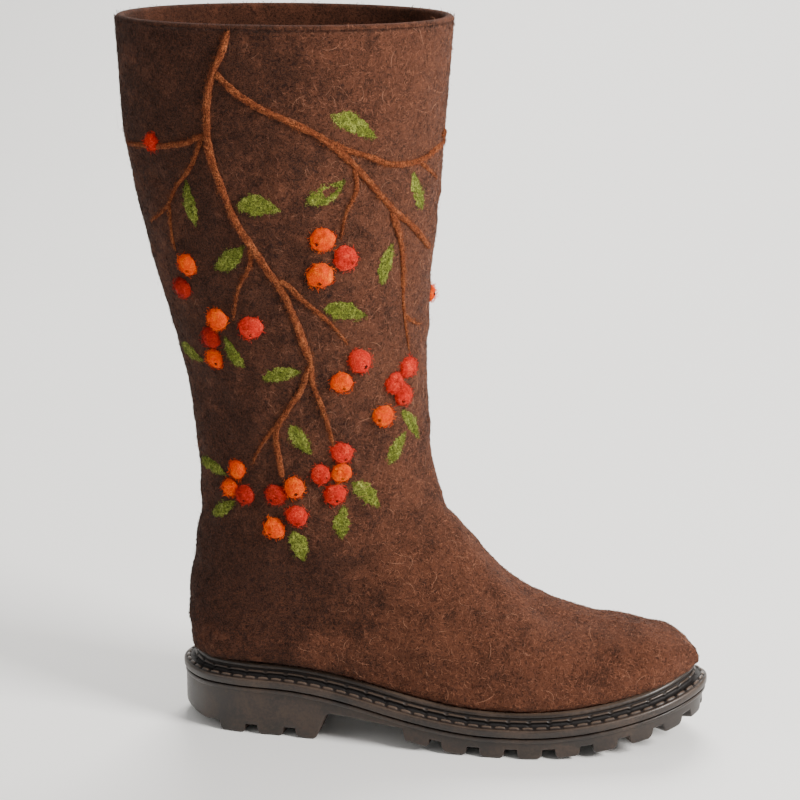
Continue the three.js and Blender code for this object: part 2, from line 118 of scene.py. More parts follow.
@dataclass
class Shape:
    """Points and faces of a mesh that is being put together, in millimetres."""

    points: list[Array] = field(default_factory=list)
    faces: list[Array] = field(default_factory=list)
    count: int = 0

    def add(self, points: Array, faces: Array) -> Array:
        """Add points and the faces between them.

        Args:
            points: the new points.
            faces: their faces, which are counted from the first of these points.

        Returns:
            The numbers that the points have in the mesh, in the points' own layout.
        """
        flat = points.reshape(-1, 3)
        numbers = self.count + np.arange(len(flat))
        self.points.append(flat)
        self.faces.append(np.asarray(faces) + self.count)
        self.count += len(flat)
        return numbers.reshape(points.shape[:-1])

    def add_grid(self, grid: Array, closed: bool = True, turned: bool = False) -> Array:
        """Add rows of points with faces between neighbours.

        Args:
            grid: rows of points.
            closed: whether each row runs round in a ring.
            turned: whether the faces look to the other side.

        Returns:
            The numbers of the points, in rows.
        """
        return self.add(grid, grid_faces(grid.shape[0], grid.shape[1], closed, turned))

    def add_tip(self, ring: Array, tip: Array, turned: bool = False) -> None:
        """Close a ring with a fan of triangles round one new point.

        Args:
            ring: numbers of the ring's points.
            tip: the new point.
            turned: whether the triangles look to the other side.
        """
        number = self.add(tip[None], np.empty((0, 3), dtype=int))[0]
        fan = np.column_stack([ring, np.roll(ring, -1), np.full(len(ring), number)])
        self.faces.append(fan[:, ::-1] if turned else fan)

    def add_seam(self, fine: Array, coarse: Array, turned: bool = False) -> None:
        """Fill the seam between two rings of different counts with triangles.

        Args:
            fine, coarse: numbers of the rings' points, which run the same way from the same place.
            turned: whether the triangles look to the other side.
        """
        n, m = len(fine), len(coarse)
        made = []
        i = j = 0
        while i < n or j < m:
            if j >= m or (i < n and (i + 1) * m <= (j + 1) * n):
                made.append((fine[i % n], coarse[j % m], fine[(i + 1) % n]))
                i += 1
            else:
                made.append((fine[i % n], coarse[j % m], coarse[(j + 1) % m]))
                j += 1
        faces = np.array(made)
        self.faces.append(faces[:, ::-1] if turned else faces)

    def make(self, name: str, weld: float = 0.0) -> bpy.types.Object:
        """Make the Blender object.

        Args:
            name: the piece's name.
            weld: points closer than this become one, in millimetres.

        Returns:
            The object, smooth shaded and linked to the scene.
        """
        points = np.concatenate(self.points)
        mesh = bpy.data.meshes.new(name)
        mesh.vertices.add(len(points))
        mesh.vertices.foreach_set("co", to_frame(points).astype(np.float32).ravel())
        sizes = np.concatenate([np.full(len(f), f.shape[1]) for f in self.faces])
        mesh.loops.add(int(sizes.sum()))
        corners = np.concatenate([f.ravel() for f in self.faces])
        mesh.loops.foreach_set("vertex_index", corners.astype(np.int32))
        mesh.polygons.add(len(sizes))
        starts = np.concatenate([[0], np.cumsum(sizes)[:-1]])
        mesh.polygons.foreach_set("loop_start", starts.astype(np.int32))
        mesh.update(calc_edges=True)
        mesh.validate()
        mesh.shade_smooth()
        piece = bpy.data.objects.new(name, mesh)
        bpy.context.scene.collection.objects.link(piece)
        if weld > 0:
            weld_points(piece, weld)
        return piece


def grid_faces(rows: int, columns: int, closed: bool, turned: bool) -> Array:
    """Return four-cornered faces between the points of a grid."""
    across = np.arange(columns if closed else columns - 1)
    row = np.arange(rows - 1)[:, None] * columns
    following = (across + 1) % columns
    faces = np.stack(
        [row + across, row + following, row + columns + following, row + columns + across], axis=-1
    )
    faces = faces.reshape(-1, 4)
    return faces[:, ::-1] if turned else faces


def to_frame(points: Array) -> Array:
    """Return points in metres in the part's frame."""
    return (points - np.array([HEEL_CENTRE, 0.0, 0.0])) * MM


def weld_points(piece: bpy.types.Object, distance: float) -> None:
    """Merge the points of a piece that lie closer than a distance in millimetres."""
    modifier = piece.modifiers.new("weld", "WELD")
    modifier.merge_threshold = distance * MM
    apply_modifiers(piece)


def apply_modifiers(piece: bpy.types.Object) -> None:
    """Replace a piece's mesh by the result of its modifiers."""
    graph = bpy.context.evaluated_depsgraph_get()
    shaped = bpy.data.meshes.new_from_object(piece.evaluated_get(graph))
    shaped.name = piece.name
    piece.modifiers.clear()
    piece.data = shaped


def cut_away(piece: bpy.types.Object, cutter: bpy.types.Object) -> None:
    """Take a closed cutter out of a closed piece and delete the cutter."""
    modifier = piece.modifiers.new("cut", "BOOLEAN")
    modifier.operation = "DIFFERENCE"
    modifier.solver = "MANIFOLD"
    modifier.object = cutter
    apply_modifiers(piece)
    bpy.data.objects.remove(cutter)


def filled(ring: Array, inside: Array, height: Callable[[Array, Array], Array]) -> tuple[Array, Array]:
    """Fill a ring in the plan with triangles.

    Args:
        ring: points of the ring in order, x and y.
        inside: more points inside it, x and y.
        height: the surface's height at x and y.

    Returns:
        The points and the triangles, which look down where the ring runs anticlockwise.
    """
    plan = np.concatenate([ring, inside])
    edges = [(i, (i + 1) % len(ring)) for i in range(len(ring))]
    corners = [Vector(p) for p in plan.tolist()]
    made = geometry.delaunay_2d_cdt(corners, edges, [], 1, 1e-5)
    flat = np.array([tuple(p) for p in made[0]])
    points = np.column_stack([flat, height(flat[:, 0], flat[:, 1])])
    return points, np.array(made[2])[:, ::-1]


# Shader trees


class Wire:
    """A value in a node tree. Python's operators on it add Math nodes."""

    def __init__(self, tree: "NodeTree", socket: bpy.types.NodeSocket) -> None:
        """Keep the tree and the socket that gives the value."""
        self.tree = tree
        self.socket = socket

    def math(self, operation: str, *others: "Wire | float") -> "Wire":
        """Return the result of a Math node on this value and others."""
        return self.tree.math(operation, self, *others)

    def __add__(self, other: "Wire | float") -> "Wire":
        """Return the sum."""
        return self.math("ADD", other)

    __radd__ = __add__

    def __mul__(self, other: "Wire | float") -> "Wire":
        """Return the product."""
        return self.math("MULTIPLY", other)

    def __sub__(self, other: "Wire | float") -> "Wire":
        """Return the difference."""
        return self.math("SUBTRACT", other)

    def __rsub__(self, other: float) -> "Wire":
        """Return a number less this value."""
        return self.tree.math("SUBTRACT", other, self)

    def clipped(self) -> "Wire":
        """Return the value kept between 0 and 1."""
        return self.tree.node("ShaderNodeClamp", {}, {"Value": self}).out("Result")

    def between(self, low: float, high: float) -> "Wire":
        """Return a smooth step from 0 where the value is low to 1 where it is high."""
        settings = {"interpolation_type": "SMOOTHSTEP"}
        inputs = {"Value": self, "From Min": low, "From Max": high}
        return self.tree.node("ShaderNodeMapRange", settings, inputs).out("Result")


@dataclass
class Made:
    """A node that was added to a tree."""

    tree: "NodeTree"
    node: bpy.types.Node

    def out(self, name: str) -> Wire:
        """Return one of its outputs."""
        return Wire(self.tree, self.node.outputs[name])


class NodeTree:
    """A material's node tree round one Principled shader."""

    def __init__(self, name: str, uniform: dict[str, Any]) -> None:
        """Start a material.

        Args:
            name: the material's name.
            uniform: values of the shader's sockets that are the same all over.
        """
        self.material = bpy.data.materials.new(name)
        self.material.use_nodes = True
        self.tree = self.material.node_tree
        self.shader = self.tree.nodes["Principled BSDF"]
        for socket, value in uniform.items():
            self.shader.inputs[socket].default_value = value

    def node(self, kind: str, settings: dict[str, Any], inputs: dict[Any, Any]) -> Made:
        """Add a node.

        Args:
            kind: the node's type.
            settings: its own settings, which are set first.
            inputs: values or wires of its sockets, by name or number.

        Returns:
            The node.
        """
        node = self.tree.nodes.new(kind)
        for name, value in settings.items():
            setattr(node, name, value)
        for name, value in inputs.items():
            self.join(node.inputs[name], value)
        return Made(self, node)

    def join(self, socket: bpy.types.NodeSocket, value: Any) -> None:
        """Feed a socket from a wire, or set its value."""
        if isinstance(value, Wire):
            self.tree.links.new(value.socket, socket)
        else:
            socket.default_value = value

    def math(self, operation: str, *values: "Wire | float") -> Wire:
        """Return the result of a Math node."""
        inputs = dict(enumerate(values))
        return self.node("ShaderNodeMath", {"operation": operation}, inputs).out("Value")

    def place(self) -> Wire:
        """Return the place on the object, in metres."""
        return self.node("ShaderNodeTexCoord", {}, {}).out("Object")

    def noise(self, size: float, detail: float = 3.0, rough: float = 0.5, twist: float = 0.0,
              stretch: tuple[float, float, float] = (1.0, 1.0, 1.0)) -> Wire:
        """Return a noise between 0 and 1.

        Args:
            size: size of its spots in millimetres.
            detail: how many finer layers it has.
            rough: how strong the finer layers are.
            twist: how much it is distorted.
            stretch: how much longer the spots are along each axis.

        Returns:
            The value.
        """
        scale = tuple(1.0 / share for share in stretch)
        mapped = self.node("ShaderNodeMapping", {}, {"Vector": self.place(), "Scale": scale})
        inputs = {
            "Vector": mapped.out("Vector"), "Scale": 1.0 / (size * MM), "Detail": detail,
            "Roughness": rough, "Distortion": twist,
        }
        return self.node("ShaderNodeTexNoise", {}, inputs).out("Fac")

    def blend(self, factor: "Wire | float", first: Any, second: Any) -> Wire:
        """Return a colour between two colours."""
        mix = self.tree.nodes.new("ShaderNodeMix")
        mix.data_type = "RGBA"
        sockets = {s.identifier: s for s in mix.inputs}
        self.join(sockets["Factor_Float"], factor)
        self.join(sockets["A_Color"], first)
        self.join(sockets["B_Color"], second)
        outputs = {s.identifier: s for s in mix.outputs}
        return Wire(self, outputs["Result_Color"])

    def bump(self, height: Wire, depth: float) -> None:
        """Feed the shader's normal from a height.

        Args:
            height: the height between 0 and 1.
            depth: what a height of 1 stands for, in millimetres.
        """
        inputs = {"Height": height, "Distance": depth * MM, "Strength": 1.0}
        normal = self.node("ShaderNodeBump", {}, inputs).out("Normal")
        self.feed("Normal", normal)

    def feed(self, socket: str, value: "Wire | float") -> None:
        """Feed one of the shader's sockets."""
        self.join(self.shader.inputs[socket], value)


def colour(red: int, green: int, blue: int) -> tuple[float, float, float, float]:
    """Return a colour of 0 to 255, as seen on a screen, as the shader's linear colour."""
    parts = [value / 255 for value in (red, green, blue)]
    linear = [p / 12.92 if p <= 0.04045 else ((p + 0.055) / 1.055) ** 2.4 for p in parts]
    return (linear[0], linear[1], linear[2], 1.0)


def felt_clouds(tree: NodeTree) -> Wire:
    """Return the felt's large soft patches, which its hairs share."""
    return tree.noise(26.0, 3.0, 0.6, 0.5)


def felt_patches(tree: NodeTree) -> Wire:
    """Return the felt's small patches, which its hairs share."""
    return tree.noise(9.0, 4.0, 0.62, 0.9)


def felt_painted_light(tree: NodeTree, share: float) -> Wire:
    """Return the felt's painted light and shade: lighter at the front, darker at the back and in a band at
    the ankle.

    Args:
        tree: the material's tree.
        share: how much lighter the front is painted than the back.

    Returns:
        The value, less than 0 where shade is painted.
    """
    axes = tree.node("ShaderNodeSeparateXYZ", {}, {"Vector": tree.place()})
    # Painted light towards the front and painted shade towards the back.
    front = axes.out("X").between(-0.005, 0.12)
    waver = tree.noise(14.0, 2.0) * 0.016 - 0.008
    height = axes.out("Z") + waver
    # Painted shade: a darker band at the ankle, strongest at the back.
    ankle = height.between(0.054, 0.064) - height.between(0.085, 0.12)
    return front * share - share / 2 - ankle * (1.0 - front) * 0.14 + 0.03


# Finishes


@dataclass(frozen=True)
class FeltFinish:
    """Felted wool: a mottled colour with tangled hairs.

    Attributes:
        name: the material's name.
        dark, middle, light: its colours, from hollows, where the dark is painted shade, to lighter patches
            that also carry painted light.
        hair: colour of the lighter hairs in it.
        grain: size of its finest tangle in millimetres.
        relief: depth of the tangle in millimetres.
        painted_front_light: how much lighter the front is painted than the back, as painted light and shade.
    """

    name: str
    dark: tuple
    middle: tuple
    light: tuple
    hair: tuple
    grain: float = 0.9
    relief: float = 0.5
    painted_front_light: float = 0.2

    def paint(self) -> bpy.types.Material:
        """Return the material."""
        uniform = {"Sheen Weight": 0.03, "Sheen Roughness": 0.5, "Specular IOR Level": 0.08}
        tree = NodeTree(self.name, uniform)
        clouds = felt_clouds(tree)
        patches = felt_patches(tree)
        tangle = tree.noise(self.grain * 1.3, 3.0, 0.6, 1.2)
        hairs = self.hairs(tree)
        # Painted light and shade, lighter at the front and darker at the back and ankle, mixed into the
        # felt's patches.
        painted_light = felt_painted_light(tree, self.painted_front_light)
        clouds = clouds + painted_light
        patches = patches + painted_light * 0.6
        tone = clouds * 0.45 + patches * 0.35 + tangle * 0.2
        base = tree.blend(tone.between(0.41, 0.59), self.dark, self.middle)
        # Lighter patches: random tone, with the painted light mixed in.
        worn_and_painted_light = (clouds * 0.3 + patches * 0.4 + tangle * 0.3).between(0.48, 0.63)
        base = tree.blend(worn_and_painted_light * 0.7, base, self.light)
        base = tree.blend(hairs * 0.45, base, self.hair)
        # Painted shade: the dark colour in the hollows of the tangle, where the bump is low.
        base = tree.blend((1.0 - tangle).between(0.52, 0.66) * 0.6, base, self.dark)
        tree.feed("Base Color", base)
        tree.feed("Roughness", 0.86 + tangle * 0.12)
        tree.bump(tangle * 0.8 + hairs * 0.25 + patches * 1.2, self.relief)
        return tree.material

    def hairs(self, tree: NodeTree) -> Wire:
        """Return thin winding lines in three directions, 1 on a hair."""
        lines = None
        for stretch in ((3.5, 1.0, 1.2), (1.0, 1.2, 3.5), (1.2, 3.5, 1.0)):
            field_value = tree.noise(self.grain, 1.0, 0.5, 1.6, stretch)
            line = 1.0 - (field_value - 0.5).math("ABSOLUTE").between(0.01, 0.06)
            lines = line if lines is None else lines.math("MAXIMUM", line)
        return lines


@dataclass(frozen=True)
class RubberFinish:
    """Moulded semi-gloss rubber with random dust, painted shade in its grooves and lighter crests, partly
    wear and partly painted highlight.

    Attributes:
        name: the material's name.
        base: its colour.
        dusty: colour of dust and wear, in random places.
        deep: colour of its grooves, painted shade.
        painted_light: colour of its crests, partly wear and partly painted highlight.
        gloss: its roughness where it is clean.
    """

    name: str
    base: tuple
    dusty: tuple
    deep: tuple
    painted_light: tuple
    gloss: float = 0.31

    def paint(self) -> bpy.types.Material:
        """Return the material."""
        tree = NodeTree(self.name, {"Specular IOR Level": 0.44})
        clouds = tree.noise(30.0, 4.0, 0.6, 0.5)
        specks = tree.noise(1.6, 5.0, 0.7, 0.3)
        grain = tree.noise(0.5, 3.0, 0.6)
        dust = (clouds * 0.6 + specks * 0.4).between(0.42, 0.68)
        hollow = tree.node("ShaderNodeAttribute", {"attribute_name": HOLLOW}, {}).out("Fac")
        groove = hollow.clipped()
        crest = (hollow * -1.0).clipped()
        worn_and_painted_light = tree.blend(dust * 0.7, self.base, self.dusty)
        # Crests painted lighter: partly wear, partly painted highlight.
        worn_and_painted_light = tree.blend(crest * 0.75, worn_and_painted_light, self.painted_light)
        # Painted shade: grooves take the deep colour.
        tree.feed("Base Color", tree.blend(groove, worn_and_painted_light, self.deep))
        tree.feed("Roughness", self.gloss + dust * 0.2 + specks * 0.1 + groove * 0.3 - crest * 0.12)
        tree.bump(grain * 0.6 + specks * 0.4, 0.06)
        return tree.material


@dataclass(frozen=True)
class YarnFinish:
    """Dyed wool of the needle-felted sprig: streaks of two tones, a fibre relief and painted shade in the
    gaps between fibres.

    Attributes:
        name: the material's name.
        base, light, dark: its colours.
        streak: how much longer than wide its streaks are.
        relief: depth of the fibres in millimetres.
        painted_gap_shade: how dark the painted shade in its gaps is.
    """

    name: str
    base: tuple
    light: tuple
    dark: tuple
    streak: float = 3.0
    relief: float = 0.4
    painted_gap_shade: float = 0.8

    def paint(self) -> bpy.types.Material:
        """Return the material."""
        uniform = {"Sheen Weight": 0.02, "Sheen Roughness": 0.5, "Specular IOR Level": 0.05}
        tree = NodeTree(self.name, uniform)
        clouds = tree.noise(5.0, 4.0, 0.65, 0.8)
        upright = tree.noise(0.7, 4.0, 0.7, 1.4, (1.0, 1.0, self.streak))
        level = tree.noise(0.7, 4.0, 0.7, 1.4, (self.streak, 1.0, 1.0))
        fibres = upright.math("MAXIMUM", level)
        base = tree.blend((clouds * 0.4 + fibres * 0.6).between(0.5, 0.66), self.base, self.light)
        # Painted shade: the dark colour in the gaps between the fibres, where the bump is low.
        base = tree.blend((1.0 - fibres).between(0.4, 0.54) * self.painted_gap_shade, base, self.dark)
        tree.feed("Base Color", base)
        tree.feed("Roughness", 0.8 + clouds * 0.15)
        tree.bump(fibres * 0.7 + clouds * 0.3, self.relief)
        return tree.material


@dataclass(frozen=True)
class HairFinish:
    """Single wool hairs, whose tone changes from place to place, with the felt's painted light and shade.

    Attributes:
        name: the material's name.
        dark, light: its two tones.
    """

    name: str
    dark: tuple
    light: tuple

    def paint(self) -> bpy.types.Material:
        """Return the material."""
        tree = NodeTree(self.name, {"Specular IOR Level": 0.2, "Roughness": 0.8})
        strand = tree.noise(3.0, 2.0, 0.6)
        # The hairs take the felt's painted light and shade.
        tone = strand * 0.4 + felt_clouds(tree) * 0.35 + felt_patches(tree) * 0.35 + felt_painted_light(tree, 0.2)
        tree.feed("Base Color", tree.blend(tone.between(0.46, 0.66), self.dark, self.light))
        return tree.material


class Palette:
    """The boot's finishes, each made once."""

    FELT = FeltFinish(
        "felt_brown", colour(24, 12, 8), colour(56, 31, 21), colour(92, 54, 38), colour(112, 69, 50)
    )
    LINING = FeltFinish(
        "felt_lining", colour(44, 24, 17), colour(70, 42, 30), colour(100, 64, 46), colour(122, 82, 60)
    )
    # The rubber's fourth colour is painted shade for the grooves; its last is for crests, partly wear and
    # partly painted highlight.
    RUBBER = RubberFinish(
        "rubber_black", colour(29, 22, 18), colour(70, 54, 43), colour(13, 6, 5), colour(96, 81, 70)
    )
    BRANCH = YarnFinish(
        "wool_branch", colour(120, 62, 36), colour(162, 95, 58), colour(50, 25, 15),
        streak=4.0, relief=0.6, painted_gap_shade=0.9,
    )
    LEAF = YarnFinish(
        "wool_leaf", colour(108, 116, 40), colour(160, 166, 80), colour(40, 46, 18),
        streak=3.0, relief=0.6, painted_gap_shade=0.95,
    )
    BERRY_WOOL = {"streak": 2.5, "relief": 1.2, "painted_gap_shade": 0.7}
    RED = YarnFinish(
        "wool_red", colour(210, 44, 30), colour(240, 88, 60), colour(156, 17, 10), **BERRY_WOOL
    )
    ORANGE = YarnFinish(
        "wool_orange", colour(234, 76, 0), colour(255, 128, 8), colour(196, 36, 0), **BERRY_WOOL
    )
    CRIMSON = YarnFinish(
        "wool_crimson", colour(172, 36, 27), colour(202, 62, 46), colour(116, 14, 10), **BERRY_WOOL
    )
    CALYX = YarnFinish("wool_calyx", colour(54, 19, 12), colour(72, 28, 18), colour(26, 10, 7), streak=1.5)
    HAIR_DARK = HairFinish("hair_dark", colour(20, 10, 7), colour(44, 24, 16))
    HAIR_BROWN = HairFinish("hair_brown", colour(38, 20, 14), colour(88, 51, 36))
    HAIR_LIGHT = HairFinish("hair_light", colour(54, 30, 21), colour(122, 76, 55))
    HAIR_CURL = HairFinish("hair_curl", colour(54, 32, 23), colour(124, 79, 58))
    HAIR_STRAY = HairFinish("hair_stray", colour(84, 51, 37), colour(160, 112, 87))

    def __init__(self) -> None:
        """Start with no material made."""
        self.made: dict[str, bpy.types.Material] = {}

    def give(self, piece: bpy.types.Object, finish: Any) -> None:
        """Give a piece one finish all over."""
        if finish.name not in self.made:
            self.made[finish.name] = finish.paint()
        piece.data.materials.clear()
        piece.data.materials.append(self.made[finish.name])


def keep(piece: bpy.types.Object, slot: str, *nodes: str) -> None:
    """Let a piece ride on the boot, hide the parts it replaces, and report it."""
    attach(piece, BODY)
    if nodes:
        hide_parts(*nodes)
    triangles = sum(len(face.vertices) - 2 for face in piece.data.polygons)
    LOG.info("%s: %d triangles", piece.name, triangles)


# The sole's lines


@dataclass(frozen=True)
class Edge:
    """Places in order along the sole's edge, with unit normals that point inwards."""

    x: Array
    y: Array
    nx: Array
    ny: Array
    run: Array

    def inset(self, inwards: Array) -> tuple[Array, Array]:
        """Return x and y of the edge moved inwards."""
        return self.x + self.nx * inwards, self.y + self.ny * inwards


@dataclass(frozen=True)
class SolePlan:
    """Plan and side lines of the sole. The outline's points are shares of length and half width."""

    length: float = 281.0
    ball_width: float = 101.0
    heel_width: float = 75.0
    heel_height: float = 26.0
    forefoot_height: float = 11.5
    toe_spring: float = 16.5
    heel_depth: float = 80.0
    breast_slope: float = 6.0
    arch_height: float = 15.4
    arch_front: float = 11.8
    tread_start: float = 128.0
    rocker_start: float = 168.0
    rocker_rise: float = 5.6
    heel_bevel: float = 4.3
    heel_bevel_length: float = 27.0
    heel_bevel_flat: float = 20.5
    outline: tuple[tuple[float, float], ...] = (
        (0.0, 0.0), (0.014, -0.4), (0.06, -0.8), (0.13, -0.99), (0.22, -1.06), (0.33, -1.07),
        (0.44, -1.06), (0.54, -1.02), (0.63, -1.01), (0.71, -0.985), (0.79, -0.9), (0.87, -0.745),
        (0.93, -0.555), (0.975, -0.29), (0.997, -0.03), (0.998, 0.22), (0.978, 0.48), (0.93, 0.72),
        (0.86, 0.88), (0.77, 0.96), (0.69, 0.92), (0.59, 0.78), (0.48, 0.68), (0.37, 0.76),
        (0.25, 0.91), (0.14, 0.93), (0.06, 0.76), (0.014, 0.38),
    )

    def toe_rise(self, x: Array) -> Array:
        """Return the rise of the toe above the ball."""
        ahead = np.maximum(0.0, x / self.length - 0.66) / 0.34
        return self.toe_spring * ahead**1.9

    def bed(self, x: Array) -> Array:
        """Return the height of the outsole's top."""
        pitch = (self.heel_height - self.forefoot_height) * (1.0 - smooth(x / self.length, 0.21, 0.62))
        return self.forefoot_height + pitch + self.toe_rise(x)

    def bevel(self, x: Array) -> Array:
        """Return how far the heel's back end stands off the ground."""
        return self.heel_bevel * (1.0 - smooth(x, self.heel_bevel_flat, self.heel_bevel_length))

    def ground(self, x: Array) -> Array:
        """Return the height of the lugs' ground side without the heel's bevel."""
        back = np.clip((self.rocker_start - x) / (self.rocker_start - self.tread_start), 0.0, 1.0)
        forefoot = x > self.heel_depth + self.breast_slope
        return np.where(forefoot, self.rocker_rise * back**2, 0.0) + self.toe_rise(x)

    def tread(self, x: Array) -> Array:
        """Return the height of the lugs' ground side."""
        return self.ground(x) + self.bevel(x)

    @cached_property
    def dense(self) -> Array:
        """Points close together along the outline."""
        shares = np.array(self.outline)
        half = lerp(self.heel_width, self.ball_width, smooth(shares[:, 0], 0.2, 0.62)) / 2
        corners = np.column_stack([shares[:, 0] * self.length, shares[:, 1] * half])
        p0, p1, p2, p3 = (np.roll(corners, 1 - k, axis=0) for k in range(4))
        d0, d1, d2 = (
            np.sqrt(np.linalg.norm(b - a, axis=1))[:, None] for a, b in ((p0, p1), (p1, p2), (p2, p3))
        )
        leave = ((p1 - p0) / d0 - (p2 - p0) / (d0 + d1) + (p2 - p1) / d1) * d1
        arrive = ((p2 - p1) / d1 - (p3 - p1) / (d1 + d2) + (p3 - p2) / d2) * d1
        share = np.linspace(0.0, 1.0, 65)[None, :-1, None]
        a, b, m, n = (v[:, None, :] for v in (p1, p2, leave, arrive))
        cubic = 2 * a - 2 * b + m + n
        square = -3 * a + 3 * b - 2 * m - n
        return (a + m * share + square * share**2 + cubic * share**3).reshape(-1, 2)

    @cached_property
    def around(self) -> float:
        """The length of the whole edge."""
        return float(np.linalg.norm(np.roll(self.dense, -1, axis=0) - self.dense, axis=1).sum())

    def edge(self, runs: Array) -> Edge:
        """Return the places at distances along the edge."""
        loop = np.vstack([self.dense, self.dense[:1]])
        lengths = np.concatenate([[0.0], np.cumsum(np.linalg.norm(np.diff(loop, axis=0), axis=1))])

        def at(run: Array) -> Array:
            turn = np.mod(run, self.around)
            return np.column_stack([np.interp(turn, lengths, loop[:, k]) for k in range(2)])

        place = at(runs)
        along = unit(at(runs + 0.6) - at(runs - 0.6))
        return Edge(place[:, 0], place[:, 1], -along[:, 1], along[:, 0], np.asarray(runs))

    def even_edge(self, count: int) -> Edge:
        """Return places at even distances along the edge."""
        return self.edge(np.arange(count) * self.around / count)

    @cached_property
    def fine(self) -> Edge:
        """Places half a millimetre apart along the edge."""
        return self.even_edge(int(self.around * 2))

    def nearest(self, x: Array, y: Array) -> Array:
        """Return the number of the nearest place of the fine edge to each point."""
        found = np.empty(len(x), dtype=int)
        for part in np.array_split(np.arange(len(x)), max(1, len(x) // 4000)):
            gap = (x[part, None] - self.fine.x) ** 2 + (y[part, None] - self.fine.y) ** 2
            found[part] = gap.argmin(axis=1)
        return found

    def depth(self, x: Array, y: Array) -> Array:
        """Return how far inside the edge each point lies."""
        at = self.nearest(x, y)
        fine = self.fine
        return (x - fine.x[at]) * fine.nx[at] + (y - fine.y[at]) * fine.ny[at]

    def inside_ring(self, inset: float, step: float) -> Array:
        """Return the outline moved inwards, without points that cross over in a tight curve."""
        edge = self.even_edge(int(self.around / step))
        x, y = edge.inset(inset)
        gap = np.hypot(x[:, None] - self.fine.x, y[:, None] - self.fine.y).min(axis=1)
        return np.column_stack([x, y])[gap > inset - 0.05]

    def plan_grid(self, inset: float, step: float) -> Array:
        """Return points of a plan grid that lie well inside an inset outline."""
        xs = np.arange(0.0, self.length, step)
        ys = np.arange(-self.ball_width, self.ball_width, step)
        x, y = (v.ravel() for v in np.meshgrid(xs, ys))
        held = self.depth(x, y) > inset + step * 0.6
        return np.column_stack([x[held], y[held]])

    def on_edge(self, x: float, side: int) -> float:
        """Return the distance along the edge of the place at x on one side, -1 for the outer side."""
        miss = np.abs(self.fine.x - x) + np.where(self.fine.y * side < 0, self.length, 0.0)
        return float(self.fine.run[miss.argmin()])


# Upper


@dataclass(frozen=True)
class FootRow:
    """Section of the upper that stands on the sole, in the shares that the part's source names."""

    at: float
    lean: float
    high: float
    lift: float
    outer: float
    inner: float
    widest: float
    low: float
    top: float
    nose: float


@dataclass(frozen=True)
class ShaftRow:
    """Section of the upper from the heel's back to the collar, in shares as the source names them."""

    back: float
    back_up: float
    front: float
    front_up: float
    wide: float
    flare: float
    widest: float
    low: float
    top: float


@dataclass(frozen=True)
class Fold:
    """A soft trough or ridge of the felt, at a given place on the upper.

    Attributes:
        turn: from and to, in degrees round the section: 0 is the front, 90 the inner side.
        level: height at the start, the middle and the end, above the floor at the heel.
        depth: depth of the trough, less than 0 for a ridge.
        width: half its width.
    """

    turn: tuple[float, float]
    level: tuple[float, float, float]
    depth: float
    width: float


